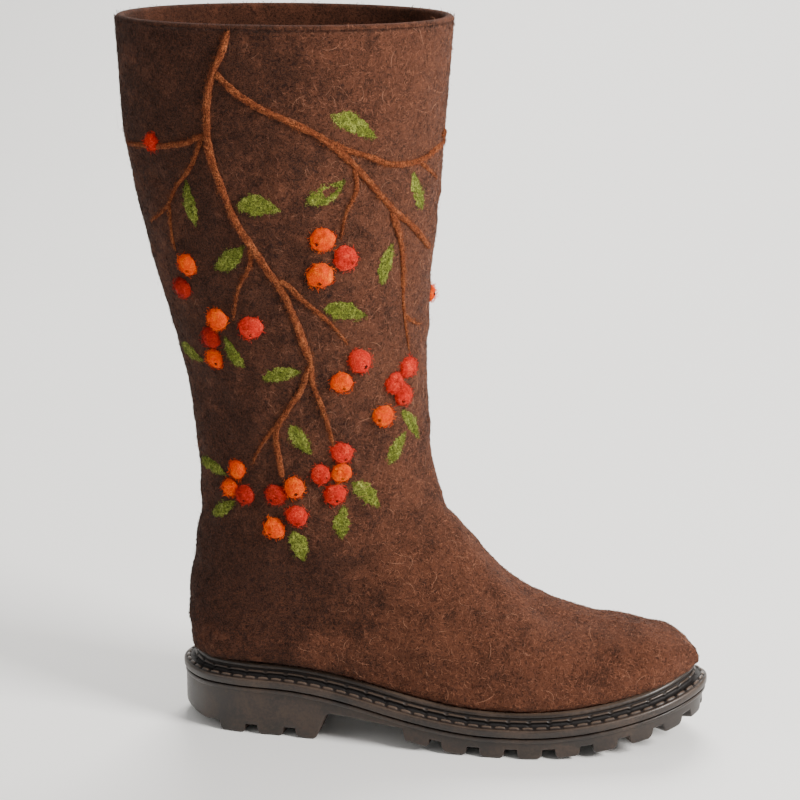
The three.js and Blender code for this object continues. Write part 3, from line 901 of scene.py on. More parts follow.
@dataclass
class Upper:
    """The felt upper: foot, ankle and shaft in one hollow body."""

    plan: SolePlan
    wall: float = 5.0
    margin: float = 9.0
    toe_lift: float = 14.2
    instep_height: float = 100.0
    shaft_height: float = 349.0
    ankle_width: float = 88.0
    collar_width: float = 132.0
    welt_width: float = 10.8
    bead_top: float = 11.7
    gap: float = 0.3
    outer_roll: float = 4.5
    inner_roll: float = 9.0
    round_points: int = 208
    row_steps: int = 12
    inner_points: int = 96
    inner_steps: int = 4
    lip_rings: int = 9
    swollen_below: float = 300.0
    plain_above: float = 372.0
    foot: tuple[FootRow, ...] = (
        FootRow(0.981, 0.0, 0.0, 1.0, 0.52, 0.52, 0.5, 2.2, 2.1, 1.0),
        FootRow(0.9765, 0.002, 0.128, 0.55, 0.5, 0.5, 0.48, 2.3, 2.1, 0.93),
        FootRow(0.964, 0.004, 0.218, 0.2, 0.46, 0.46, 0.42, 2.6, 2.15, 0.8),
        FootRow(0.94, 0.006, 0.318, 0.0, 0.42, 0.42, 0.4, 3.2, 2.2, 0.62),
        FootRow(0.9, 0.008, 0.392, 0.0, 0.38, 0.38, 0.38, 3.8, 2.2, 0.4),
        FootRow(0.845, 0.01, 0.452, 0.0, 0.34, 0.34, 0.36, 4.2, 2.15, 0.2),
        FootRow(0.77, 0.012, 0.506, 0.0, 0.32, 0.34, 0.35, 4.4, 2.1, 0.08),
        FootRow(0.68, 0.022, 0.594, 0.0, 0.34, 0.55, 0.35, 4.8, 2.05, 0.0),
        FootRow(0.57, 0.054, 0.726, 0.0, 0.4, 0.88, 0.35, 5.0, 2.0, 0.0),
        FootRow(0.445, 0.122, 0.829, 0.0, 0.48, 1.24, 0.36, 5.0, 2.0, 0.0),
        FootRow(0.32, 0.209, 0.87, 0.0, 0.68, 1.36, 0.39, 4.6, 2.0, 0.0),
        FootRow(0.2, 0.304, 0.927, 0.0, 0.92, 1.3, 0.42, 4.2, 2.05, 0.0),
        FootRow(0.105, 0.386, 1.035, 0.0, 1.28, 1.4, 0.45, 3.7, 2.1, 0.0),
    )
    shaft: tuple[ShaftRow, ...] = (
        ShaftRow(0.04, 0.014, 0.4805, 0.332, 0.905, 0.0, 0.48, 3.2, 2.1),
        ShaftRow(0.02, 0.072, 0.4745, 0.364, 0.915, 0.0, 0.5, 2.7, 2.1),
        ShaftRow(0.019, 0.136, 0.471, 0.396, 0.935, 0.0, 0.5, 2.35, 2.1),
        ShaftRow(0.031, 0.208, 0.47, 0.43, 0.96, 0.0, 0.5, 2.25, 2.1),
        ShaftRow(0.042, 0.28, 0.4695, 0.467, 0.985, 0.0, 0.5, 2.15, 2.1),
        ShaftRow(0.042, 0.352, 0.469, 0.507, 1.0, 0.06, 0.5, 2.1, 2.1),
        ShaftRow(0.026, 0.44, 0.471, 0.556, 1.0, 0.2, 0.5, 2.1, 2.1),
        ShaftRow(-0.004, 0.54, 0.476, 0.615, 1.0, 0.42, 0.5, 2.1, 2.1),
        ShaftRow(-0.038, 0.645, 0.483, 0.69, 1.0, 0.64, 0.5, 2.1, 2.1),
        ShaftRow(-0.07, 0.755, 0.493, 0.778, 1.0, 0.83, 0.5, 2.1, 2.1),
        ShaftRow(-0.09, 0.87, 0.504, 0.878, 1.0, 0.94, 0.5, 2.1, 2.1),
        ShaftRow(-0.1, 1.0, 0.516, 1.0, 1.0, 1.0, 0.5, 2.1, 2.1),
    )
    folds: tuple[Fold, ...] = (
        Fold((150.0, 235.0), (92.0, 88.0, 84.0), 1.2, 7.0),
        Fold((140.0, 240.0), (118.0, 116.0, 110.0), 1.0, 8.0),
        Fold((-60.0, 50.0), (150.0, 146.0, 152.0), 1.0, 8.0),
        Fold((205.0, 300.0), (66.0, 74.0, 88.0), 3.0, 17.0),
        Fold((262.0, 312.0), (52.0, 46.0, 40.0), -1.2, 9.0),
    )
    swelling: Unevenness = Unevenness(0.65, 24.0, 70.0, 14, 11)
    pitting: Unevenness = Unevenness(0.27, 9.0, 20.0, 22, 12)

    def reach(self, x: float, inset: float) -> tuple[float, float]:
        """Return the half widths, outer and inner side, of the inset outline at x."""
        ring = self.plan.inside_ring(inset, 1.0)
        nxt = np.roll(ring, -1, axis=0)
        crossed = ((ring[:, 0] - x) * (nxt[:, 0] - x) <= 0) & (ring[:, 0] != nxt[:, 0])
        a, b = ring[crossed], nxt[crossed]
        y = a[:, 1] + (b[:, 1] - a[:, 1]) * (x - a[:, 0]) / (b[:, 0] - a[:, 0])
        if len(y) == 0:
            return 0.0, 0.0
        return max(0.0, -float(y.min())), max(0.0, float(y.max()))

    def foot_numbers(self, row: FootRow, wall: float) -> list[float]:
        """Return a foot section in millimetres, with a wall taken off on all sides."""
        x = row.at * self.plan.length - wall * row.nose
        in_plane = wall * math.sqrt(1.0 - row.nose**2)
        low = float(self.plan.bed(np.array(x))) + self.gap + row.lift * self.toe_lift
        height = row.high * self.instep_height
        outer = self.reach(row.at * self.plan.length, self.welt_width * (1.0 - row.outer))[0]
        inner = self.reach(row.at * self.plan.length, self.welt_width * (1.0 - row.inner))[1]
        return [
            x, low + in_plane, x + row.lean * self.plan.length, low + height - in_plane,
            max(outer - in_plane, 0.0), max(inner - in_plane, 0.0), row.widest, row.low, row.top,
        ]

    def shaft_numbers(self, row: ShaftRow, wall: float) -> list[float]:
        """Return a shaft section in millimetres, with a wall taken off on all sides."""
        base = float(self.plan.bed(np.array(0.0)))
        half = lerp(self.ankle_width, self.collar_width, row.flare) * row.wide / 2
        low = np.array([row.back * self.plan.length, base + row.back_up * self.shaft_height])
        high = np.array([row.front * self.plan.length, base + row.front_up * self.shaft_height])
        along = unit(high - low) * wall
        low, high = low + along, high - along
        return [*low, *high, half - wall, half - wall, row.widest, row.low, row.top]

    def sections(self, wall: float, steps: int) -> Array:
        """Return the numbers of all sections, with steps from each row to the next."""
        rows = np.array(
            [self.foot_numbers(r, wall) for r in self.foot]
            + [self.shaft_numbers(r, wall) for r in self.shaft]
        )
        last = len(rows) - 1
        at = np.arange(1, last * steps + 1) / steps
        first = np.minimum(at.astype(int), last - 1)
        share = (at - first)[:, None]
        a, b, d, e = (rows[np.clip(first + k, 0, last)] for k in (-1, 0, 1, 2))
        rise = share * share * (3.0 - 2.0 * share)
        curve = share * (1.0 - share)
        return lerp(b, d, rise) + curve * ((1.0 - share) * (d - a) - share * (e - b)) / 2

    def rings(self, wall: float, steps: int, count: int) -> Array:
        """Return rings of points from the toe to the collar."""
        s = self.sections(wall, steps)[:, :, None]
        low_x, low_z, high_x, high_z, outer, inner, widest, square_low, square_top = (
            s[:, k] for k in range(9)
        )
        length = np.maximum(np.hypot(high_x - low_x, high_z - low_z), 0.01)
        angle = np.arange(count) / count * 2 * math.pi
        c, sine = np.cos(angle)[None], np.sin(angle)[None]
        power = np.where(c < 0, square_low, square_top)
        half = np.maximum(np.where(c < 0, widest, 1.0 - widest) * length, 0.01)
        side = np.maximum(np.where(sine < 0, outer, inner), 0.01)
        reach = (np.abs(c / half) ** power + np.abs(sine / side) ** power) ** (-1.0 / power)
        u = widest + reach * c / length
        return np.stack([lerp(low_x, high_x, u), reach * sine, lerp(low_z, high_z, u)], axis=-1)

    def held(self, rings: Array, inset: float, top: float, roll: float, floor: float) -> Array:
        """Keep a surface inside the welt and above the outsole.

        Args:
            rings: the surface's points.
            inset: inset of the face that holds it, from the sole's edge.
            top: height of that face above the outsole.
            roll: height in which the surface swells out above the face.
            floor: lowest height of the surface above the outsole.

        Returns:
            The moved points.
        """
        flat = rings.reshape(-1, 3).copy()
        up = flat[:, 2] - self.plan.bed(flat[:, 0])
        low = np.flatnonzero(up < top + roll)
        at = self.plan.nearest(flat[low, 0], flat[low, 1])
        fine = self.plan.fine
        depth = (flat[low, 0] - fine.x[at]) * fine.nx[at] + (flat[low, 1] - fine.y[at]) * fine.ny[at]
        share = np.clip((up[low] - top) / roll, 0.0, 1.0)
        push = np.maximum(0.0, inset - depth) * (1.0 - np.sqrt(1.0 - (1.0 - share) ** 2))
        flat[low, 0] += fine.nx[at] * push
        flat[low, 1] += fine.ny[at] * push
        flat[:, 2] = np.maximum(flat[:, 2], self.plan.bed(flat[:, 0]) + floor)
        return flat.reshape(rings.shape)

    @staticmethod
    def normals(rings: Array) -> Array:
        """Return outward normals of a ringed surface."""
        around = np.roll(rings, -1, axis=1) - np.roll(rings, 1, axis=1)
        along = np.gradient(rings, axis=0)
        return unit(np.cross(around, along))

    @cached_property
    def outside(self) -> Array:
        """The felt's outer surface, rings of points from the toe to the collar."""
        rings = self.rings(0.0, self.row_steps, self.round_points)
        normals = self.normals(rings)
        swell = self.swelling.at(rings) + self.pitting.at(rings)
        for fold in self.folds:
            swell = swell - self.trough(rings, fold)
        height = rings[:, :1, 2].repeat(rings.shape[1], axis=1)
        collar = smooth(height, self.plain_above, self.swollen_below)
        rings = rings + normals * (swell * collar)[..., None]
        return self.held(
            rings, self.welt_width + self.gap, self.bead_top, self.outer_roll, self.gap
        )

    def trough(self, rings: Array, fold: Fold) -> Array:
        """Return the depth that a fold takes off at each point."""
        middle = rings.mean(axis=1, keepdims=True)
        turn = np.degrees(np.arctan2(rings[..., 1], rings[..., 0] - middle[..., 0]))
        start, end = fold.turn
        turn = np.where(turn < start - 20.0, turn + 360.0, turn)
        share = (turn - start) / (end - start)
        a, b, c = fold.level
        level = a + (4 * b - 3 * a - c) * share + (2 * a - 4 * b + 2 * c) * share**2
        across = np.exp(-(((rings[..., 2] - level) / fold.width) ** 2))
        along = smooth(share, -0.05, 0.3) * (1.0 - smooth(share, 0.7, 1.05))
        return fold.depth * across * along

    @cached_property
    def inside(self) -> Array:
        """The felt's inner surface, rings of points from the toe to the collar."""
        rings = self.rings(self.wall, self.inner_steps, self.inner_points)
        normals = self.normals(rings)
        rings = rings + normals * (self.swelling.at(rings) * 0.5)[..., None]
        inset = self.welt_width + self.gap + self.wall
        return self.held(rings, inset, self.bead_top + self.wall, self.inner_roll, self.gap + self.wall)

    def lip(self) -> Array:
        """Return rings that round the collar from the outer to the inner surface."""
        outer = self.outside[-1]
        turn = np.arange(self.round_points) / self.round_points * self.inner_points
        first = turn.astype(int) % self.inner_points
        share = (turn % 1.0)[:, None]
        top = self.inside[-1]
        inner = lerp(top[first], top[(first + 1) % self.inner_points], share)
        middle = (outer + inner) / 2
        angles = np.linspace(0.0, math.pi, self.lip_rings + 2)[1:-1, None, None]
        up = np.array([0.0, 0.0, self.wall / 2])
        return middle + (outer - middle) * np.cos(angles) + up * np.sin(angles)

    def build(self, palette: Palette) -> None:
        """Make the upper with its turned-in margin open underneath."""
        lower = np.array([0.0, 0.0, self.wall / 2])
        outer, inner = self.outside.copy(), self.inside.copy()
        lip = self.lip() - lower
        outer[-1] -= lower
        inner[-1] -= lower
        shape = Shape()
        shell = shape.add_grid(np.concatenate([outer, lip]))
        lining = shape.add_grid(inner, turned=True)
        shape.add_tip(shell[0], outer[0].mean(axis=0), turned=True)
        shape.add_tip(lining[0], inner[0].mean(axis=0))
        shape.add_seam(shell[-1], lining[-1], turned=True)
        piece = shape.make("felt_upper")
        cut_away(piece, self.opening())
        palette.give(piece, Palette.FELT)
        keep(piece, "felt", "upper")

    def opening(self) -> bpy.types.Object:
        """Return the solid that cuts the bottom of the felt inside its margin."""
        inset = self.welt_width + self.gap + self.wall + self.margin
        ring = self.plan.inside_ring(inset, 2.5)
        spots = self.plan.plan_grid(inset, 6.0)
        top = self.wall + self.gap * 2
        shape = Shape()
        high, faces = filled(ring, spots, lambda x, y: self.plan.bed(x) + top)
        low, under = filled(ring, spots, lambda x, y: self.plan.bed(x) - top)
        shape.add(high, faces[:, ::-1])
        shape.add(low, under)
        walls = np.stack(
            [np.column_stack([ring, self.plan.bed(ring[:, 0]) + up]) for up in (-top, top)]
        )
        shape.add_grid(walls)
        return shape.make("cutter", weld=0.02)


# Insole


@dataclass
class Insole:
    """The felt sheet that lies on the upper's margin and fills the opening inside it."""

    plan: SolePlan
    edge_inset: float = 16.6
    margin: float = 9.0
    base: float = 5.6
    thickness: float = 5.0
    foot: float = 0.6
    rounding: float = 1.4
    step: float = 1.5

    def build(self, palette: Palette) -> None:
        """Make the insole."""
        ring = self.plan.inside_ring(self.edge_inset, self.step)
        centre = ring.mean(axis=0)
        inwards = unit(centre - ring)
        top = self.base + self.thickness
        profile = [
            (0.0, self.base), (0.0, top - self.rounding), (self.rounding * 0.3, top - self.rounding * 0.3),
            (self.rounding, top),
        ]
        rows = [self.row(ring + inwards * inset, up) for inset, up in profile]
        shape = Shape()
        side = shape.add_grid(np.stack(rows))
        spots = self.plan.plan_grid(self.edge_inset + self.rounding, 4.0)
        over, faces = filled(rows[-1][:, :2], spots, lambda x, y: self.plan.bed(x) + top)
        shape.add(over, faces[:, ::-1])
        self.add_plug(shape, side[0], rows[0])
        piece = shape.make("felt_insole", weld=0.01)
        palette.give(piece, Palette.LINING)
        keep(piece, "inner_felt", "insole")

    def row(self, ring: Array, up: float) -> Array:
        """Return a ring of the plan at a height above the outsole."""
        return np.column_stack([ring, self.plan.bed(ring[:, 0]) + up])

    def add_plug(self, shape: Shape, rim: Array, places: Array) -> None:
        """Close the underside, which steps down into the margin's opening.

        Args:
            shape: the insole's mesh.
            rim: numbers of the points along its lower edge.
            places: those points.
        """
        ring = self.plan.inside_ring(self.edge_inset + self.margin, self.step)
        start = np.hypot(*(ring - places[0, :2]).T).argmin()
        ring = np.roll(ring, -start, axis=0)
        plug = shape.add_grid(np.stack([self.row(ring, self.foot), self.row(ring, self.base)]))
        shape.add_seam(rim, plug[-1])
        spots = self.plan.plan_grid(self.edge_inset + self.margin, 5.0)
        under, faces = filled(ring, spots, lambda x, y: self.plan.bed(x) + self.foot)
        shape.add(under, faces)


# Welt


@dataclass
class Welt:
    """The ring round the felt: bead, inner row of long stitches, groove and outer row on the rim.

    Attributes:
        long_pitch, short_pitch: from one stitch to the next along the inner and the outer row.
        long_gap, short_gap: length of the hollow between two stitches.
        long_depth, short_depth: depth of that hollow.
        nick_gap: how far the two nicks of an outer hollow lie from its middle.
        long_insets, short_insets: insets between which the inner and the outer row lie.
    """

    plan: SolePlan
    width: float = 10.8
    height: float = 11.4
    edge_height: float = 4.6
    bead_width: float = 3.8
    bead_rise: float = 1.65
    groove_height: float = 0.7
    groove_depth: float = 1.6
    gap: float = 0.3
    step: float = 0.5
    long_pitch: float = 11.0
    long_gap: float = 1.6
    long_depth: float = 0.7
    short_pitch: float = 7.1
    short_gap: float = 1.8
    short_depth: float = 0.75
    nick_gap: float = 0.5
    long_insets: tuple[float, float] = (6.0, 6.9)
    short_insets: tuple[float, float] = (1.6, 3.3)

    def profile(self) -> Array:
        """Return the section from the lower groove round.

        Returns:
            A row for each point: inset, height above the outsole, and its painted shade, from 1 deep in a
                groove to -1 on a crest painted lighter.
        """
        rim = self.edge_height
        # Third numbers: painted shade above 0 in grooves, crests painted lighter below 0.
        bead = [(*self.bead_point(angle), -max(0.0, math.sin(math.radians(angle + 25.0))))
                for angle in np.linspace(-8.0, 198.0, 12)]
        slot = [(7.35, 8.9, 0.7), (7.6, 8.6, 1.0), (7.55, 8.15, 1.0), (7.2, 8.0, 0.5)]
        inner_row = [(6.85, 8.05, -0.2), (6.5, 7.95, -0.5), (6.2, 7.65, -0.5), (6.1, 7.3, 0.0),
                     (6.2, 7.0, 0.5)]
        groove = [(6.6, 6.8, 1.0), (6.75, 6.2, 1.0), (6.6, 5.6, 1.0), (6.1, 5.2, 1.0), (5.3, 4.95, 1.0),
                  (4.5, 4.85, 0.9), (3.9, 4.9, 0.7)]
        outer_row = [(3.5, 5.1, 0.4), (3.25, 5.5, -0.2), (2.95, 5.82, -0.8), (2.55, 5.98, -1.0),
                     (2.15, 5.88, -1.0), (1.8, 5.55, -0.5), (1.55, 5.2, 0.2), (1.25, 5.02, 0.3)]
        edge = [(0.95, 4.95, 0.0), (0.6, 4.8, -0.35), (0.28, rim - 0.1, -0.4), (0.08, rim - 0.6, -0.1),
                (0.0, rim - 1.3, 0.0), (0.05, self.groove_height + 0.9, 0.0),
                (0.25, self.groove_height + 0.3, 0.0), (0.6, self.groove_height + 0.06, 0.3),
                (1.1, self.groove_height, 0.6), (self.groove_depth, self.groove_height, 1.0)]
        back = [(self.groove_depth, self.gap, 1.0), (self.width, self.gap, 1.0),
                (self.width, self.height * 0.5, 1.0)]
        return np.array([*back, *bead, *slot, *inner_row, *groove, *outer_row, *edge])

    def bead_point(self, degrees: float) -> tuple[float, float]:
        """Return a point of the bead's rolled top, from its inner to its outer side."""
        half = self.bead_width / 2
        turn = math.radians(degrees)
        rise = self.bead_rise
        return (self.width - half + half * math.cos(turn), self.height - rise + rise * math.sin(turn))

    def build(self, palette: Palette) -> None:
        """Make the welt with its two rows of moulded stitches."""
        count = int(self.plan.around / self.step)
        edge = self.plan.even_edge(count)
        section = self.profile()
        inset = np.tile(section[:, 0], (count, 1))
        up = np.tile(section[:, 1], (count, 1))
        run = edge.run[:, None]
        upper_part = section[:, 1] > self.edge_height + 0.3
        long_row = self.row_share(inset, *self.long_insets) * upper_part
        short_row = self.row_share(inset, *self.short_insets) * upper_part
        off = self.off_gap(run, self.long_pitch)
        long_hollow = long_row * (1.0 - smooth(off, 0.2, self.long_gap))
        up = up - self.long_depth * long_hollow
        off = self.off_gap(run, self.short_pitch)
        hollow = 1.0 - smooth(off, self.short_gap / 2 - 0.35, self.short_gap / 2 + 0.25)
        knot = 1.0 - smooth(off, 0.1, self.nick_gap)
        swell = 0.12 * np.cos(off / self.short_pitch * 2 * math.pi)
        up = up - short_row * (self.short_depth * (hollow - 0.55 * knot) + swell)
        # Painted shade value: the section's own, plus the hollows between stitches.
        depth = section[:, 2] + short_row * hollow * 1.8 + long_hollow
        x = edge.x[:, None] + edge.nx[:, None] * inset
        y = edge.y[:, None] + edge.ny[:, None] * inset
        z = self.plan.bed(edge.x)[:, None] + up
        shape = Shape()
        grid = np.stack([x, y, z], axis=-1)
        points = grid.shape[0] * grid.shape[1]
        shape.add(grid, grid_faces(count + 1, len(section), True, False) % points)
        piece = shape.make("rubber_welt")
        # The hollow attribute carries painted shade and lighter crests to the rubber.
        layer = piece.data.attributes.new(HOLLOW, "FLOAT", "POINT")
        layer.data.foreach_set("value", np.clip(depth, -1.0, 1.0).astype(np.float32).ravel())
        palette.give(piece, Palette.RUBBER)
        keep(piece, "rubber", "welt")

    def off_gap(self, run: Array, pitch: float) -> Array:
        """Return how far each place along the edge is from the nearest gap between stitches."""
        count = round(self.plan.around / pitch)
        turn = np.mod(run * count / self.plan.around, 1.0)
        return np.abs(turn - 0.5) * self.plan.around / count

    @staticmethod
    def row_share(inset: Array, low: float, high: float) -> Array:
        """Return 1 on a row of stitches between two insets, and 0 elsewhere."""
        return smooth(inset, low - 0.35, low + 0.25) * (1.0 - smooth(inset, high - 0.25, high + 0.35))


# Outsole


@dataclass
class Outsole:
    """The moulded outsole: lip, side wall, arch, heel block, lugs, channel and studs."""

    plan: SolePlan
    lug_depth: float = 4.8
    lug_length: float = 21.0
    lug_pitch: float = 19.9
    heel_lug_pitch: float = 21.3
    first_notch: float = 144.6
    first_heel_notch: float = 22.8
    notch_root: float = 5.6
    notch_mouth: float = 8.6
    rib_height: float = 2.4
    rib_inset: float = 0.7
    wall_inset: float = 2.2
    heel_wall_inset: float = 1.2
    stud_size: float = 17.0
    stud_bar: float = 6.0
    stud_pitch: float = 23.0
    corner: float = 1.5
    heel_corner: float = 4.2
    soft: float = 0.8
    breast_round: float = 2.4
    lug_round: float = 1.5
    ring_insets: tuple[float, ...] = (
        4.2, 5.6, 7.2, 9.0, 11.0, 13.0, 15.0, 17.0, 18.6, 19.6, 20.2, 20.7, 21.2, 21.8,
    )
    middle_inset: float = 22.3
    stud_lines: tuple[float, ...] = (-8.9, -7.9, -3.4, -2.4, 2.4, 3.4, 7.9, 8.9)
    stud_reach: float = 9.0

    @cached_property
    def notches(self) -> Edge:
        """The places of the notches on the sole's edge."""
        runs = []
        x = self.first_heel_notch
        while x < self.plan.heel_depth - self.notch_mouth:
            runs += [self.plan.on_edge(x, -1), self.plan.on_edge(x, 1)]
            x += self.heel_lug_pitch
        run = self.plan.on_edge(self.first_notch, -1)
        last = self.plan.tread_start + self.lug_pitch * 0.6
        while self.plan.edge(np.array([run])).x[0] > last:
            runs.append(run)
            run += self.lug_pitch
        return self.plan.edge(np.array(sorted(runs)))

    def columns(self) -> Array:
        """Return distances along the edge, close together at the notches' walls."""
        around = self.plan.around
        runs = [np.arange(0.0, around, 1.1)]
        for run in self.notches.run:
            for side in (-1.0, 1.0):
                wall = run + side * (self.notch_root + self.notch_mouth) / 4
                runs.append(wall + np.arange(-2.4, 2.5, 0.3))
        for x in (self.plan.heel_depth, self.plan.heel_depth + self.plan.breast_slope,
                  self.plan.tread_start):
            for side in (-1, 1):
                runs.append(self.plan.on_edge(x, side) + np.arange(-3.0, 3.1, 0.3))
        merged = np.unique(np.round(np.mod(np.concatenate(runs), around), 3))
        spaced = [merged[0]]
        for run in merged[1:]:
            if run - spaced[-1] >= 0.24:
                spaced.append(run)
        return np.array(spaced)

    @cached_property
    def stud_places(self) -> list[tuple[float, float]]:
        """The middles of the cross-shaped studs."""
        plan = self.plan
        xs = [HEEL_CENTRE]
        x = plan.tread_start + self.stud_size
        while x < plan.length - self.lug_length - self.stud_size:
            xs.append(x)
            x += self.stud_pitch
        ring = plan.inside_ring(self.wall_inset, 1.0)
        places = []
        for x in xs:
            near = ring[np.abs(ring[:, 0] - x) < 1.0]
            places.append((x, float(near[:, 1].min() + near[:, 1].max()) / 2))
        return places

    def standing(self, x: Array, y: Array, depth: Array) -> Array:
        """Return 1 where the tread stands on the ground and 0 in its channel and notches."""
        soft = self.soft
        rim = 1.0 - smooth(depth, self.lug_length - soft, self.lug_length + soft)
        for k in range(len(self.notches.x)):
            dx = x - self.notches.x[k]
            dy = y - self.notches.y[k]
            inwards = dx * self.notches.nx[k] + dy * self.notches.ny[k]
            across = np.abs(dx * self.notches.ny[k] - dy * self.notches.nx[k])
            low, high = self.notch_root / 2 + 0.4, self.notch_mouth / 2 + self.lug_round
            share = np.clip((across - low) / (high - low), 0.0, 1.0)
            clear = (1.0 - (1.0 - share) ** 2.2) ** (1.0 / 2.2)
            far = smooth(inwards, self.lug_length + 3.0, self.lug_length + 6.0)
            rim = rim * np.maximum(clear, far)
        stud = np.zeros_like(x)
        for sx, sy in self.stud_places:
            for wide, deep in ((self.stud_size, self.stud_bar), (self.stud_bar, self.stud_size)):
                across = 1.0 - smooth(np.abs(x - sx), wide / 2 - soft, wide / 2 + soft)
                along = 1.0 - smooth(np.abs(y - sy), deep / 2 - soft, deep / 2 + soft)
                stud = np.maximum(stud, across * along)
        return np.maximum(rim, stud)

    def underside(self, x: Array, y: Array) -> Array:
        """Return the height of the outsole's underside."""
        plan = self.plan
        depth = plan.depth(x, y)
        breast = plan.heel_depth + plan.breast_slope
        root = plan.ground(x) + self.lug_depth
        tread = lerp(root, plan.tread(x), self.standing(x, y, depth))
        share = (x - breast) / (plan.tread_start - breast)
        arch = lerp(plan.arch_height, plan.arch_front, np.clip(share, 0.0, 1.0))
        ramp = plan.arch_height * (x - plan.heel_depth) / plan.breast_slope
        heel = rounded_max(tread, ramp, self.breast_round)
        heel = -rounded_max(-heel, -arch, self.breast_round)
        front = smooth(x, plan.tread_start - 0.9, plan.tread_start + 0.9)
        behind = np.maximum(lerp(heel, tread, front), 0.0)
        return np.where(x < plan.tread_start + 1.0, behind, tread)

    def build(self, palette: Palette) -> None:
        """Make the outsole."""
        plan = self.plan
        edge = plan.edge(self.columns())
        bed = plan.bed(edge.x)
        corner = lerp(self.heel_corner, self.corner, smooth(edge.x, 4.0, 22.0))
        rows = []

        def row(inset: Array | float, height: Array) -> None:
            x, y = edge.inset(inset)
            rows.append(np.column_stack([x, y, height]))

        rib = self.rib_inset
        wall = lerp(self.heel_wall_inset, self.wall_inset, smooth(edge.x, 20.0, 70.0))
        row(rib + 0.9, plan.bed(edge.inset(rib + 0.9)[0]))
        for inset, up in ((rib + 0.25, -0.15), (rib, -0.7), (rib, -1.6), (rib + 0.15, -2.1),
                          (lerp(rib, wall, 0.7), -self.rib_height), (wall + 0.05, -self.rib_height - 0.25),
                          (wall, -self.rib_height - 0.6)):
            row(inset, bed + up)
        x, y = edge.inset(wall + corner)
        foot = self.underside(x, y)
        top = bed - self.rib_height - 0.6
        for share in (0.3, 0.62, 0.85):
            row(wall, lerp(top, foot + corner, share))
        for degrees in np.linspace(0.0, 90.0, 6):
            turn = math.radians(degrees)
            row(wall + corner * (1.0 - math.cos(turn)), foot + corner * (1.0 - math.sin(turn)))
        for inset in self.ring_insets:
            held = np.maximum(inset, wall + corner + 0.2)
            x, y = edge.inset(held)
            row(held, self.underside(x, y))
        shape = Shape()
        shape.add_grid(np.stack(rows), turned=True)
        self.close(shape, rows[0], rows[-1])
        piece = shape.make("rubber_outsole", weld=0.01)
        palette.give(piece, Palette.RUBBER)
        keep(piece, "rubber", "outsole")

    def close(self, shape: Shape, top: Array, bottom: Array) -> None:
        """Close the outsole above, where the upper stands on it, and in the middle of its tread."""
        plan = self.plan
        over, faces = filled(top[:, :2], plan.plan_grid(4.0, 7.0), lambda x, y: plan.bed(x))
        shape.add(over, faces[:, ::-1])
        spots = [plan.plan_grid(22.5, 2.0)]
        for sx, sy in self.stud_places:
            lines = np.array(self.stud_lines)
            steps = np.linspace(-self.stud_reach, self.stud_reach, 19)
            a, b = (v.ravel() for v in np.meshgrid(lines, steps))
            spots += [np.column_stack([sx + a, sy + b]), np.column_stack([sx + b, sy + a])]
        inside = np.concatenate(spots)
        inside = inside[plan.depth(inside[:, 0], inside[:, 1]) > self.middle_inset]
        under, faces = filled(bottom[:, :2], inside, self.underside)
        shape.add(under, faces)


# Camera


@dataclass(frozen=True)
class PhotoView:
    """The photo's own view of the boot, fitted to the sole's edge.

    Attributes:
        azimuth, elevation: direction from the boot to the camera, in degrees.
        distance: from the aim to the camera in millimetres.
        aim: the point looked at.
        aim_px: where that point shows in the photo.
        focal_px: focal length in the photo's pixels.
    """

    azimuth: float = 9.0
    elevation: float = 15.0
    distance: float = 1300.0
    aim: tuple[float, float, float] = (140.0, 0.0, 150.0)
    aim_px: tuple[float, float] = (368.7, 409.1)
    focal_px: float = 3143.0

    @cached_property
    def axes(self) -> tuple[Array, Array, Array]:
        """Unit vectors to the right, up and back towards the camera."""
        a, e = math.radians(self.azimuth), math.radians(self.elevation)
        back = np.array([math.sin(a) * math.cos(e), -math.cos(a) * math.cos(e), math.sin(e)])
        right = unit(np.cross([0.0, 0.0, 1.0], back))
        return right, np.cross(back, right), back

    @cached_property
    def eye(self) -> Array:
        """The camera's place."""
        return np.array(self.aim) + self.axes[2] * self.distance

    def ray(self, px: float, py: float) -> Array:
        """Return the unit direction from the eye through a pixel of the photo."""
        right, up, back = self.axes
        across = (px - self.aim_px[0]) / self.focal_px
        down = (py - self.aim_px[1]) / self.focal_px
        return unit(right * across - up * down - back)


# Skin, hairs and sprig


class Side(Enum):
    """Side of the boot, and the sign of y that turns the photo's view to it."""

    OUTER = 1.0
    INNER = -1.0


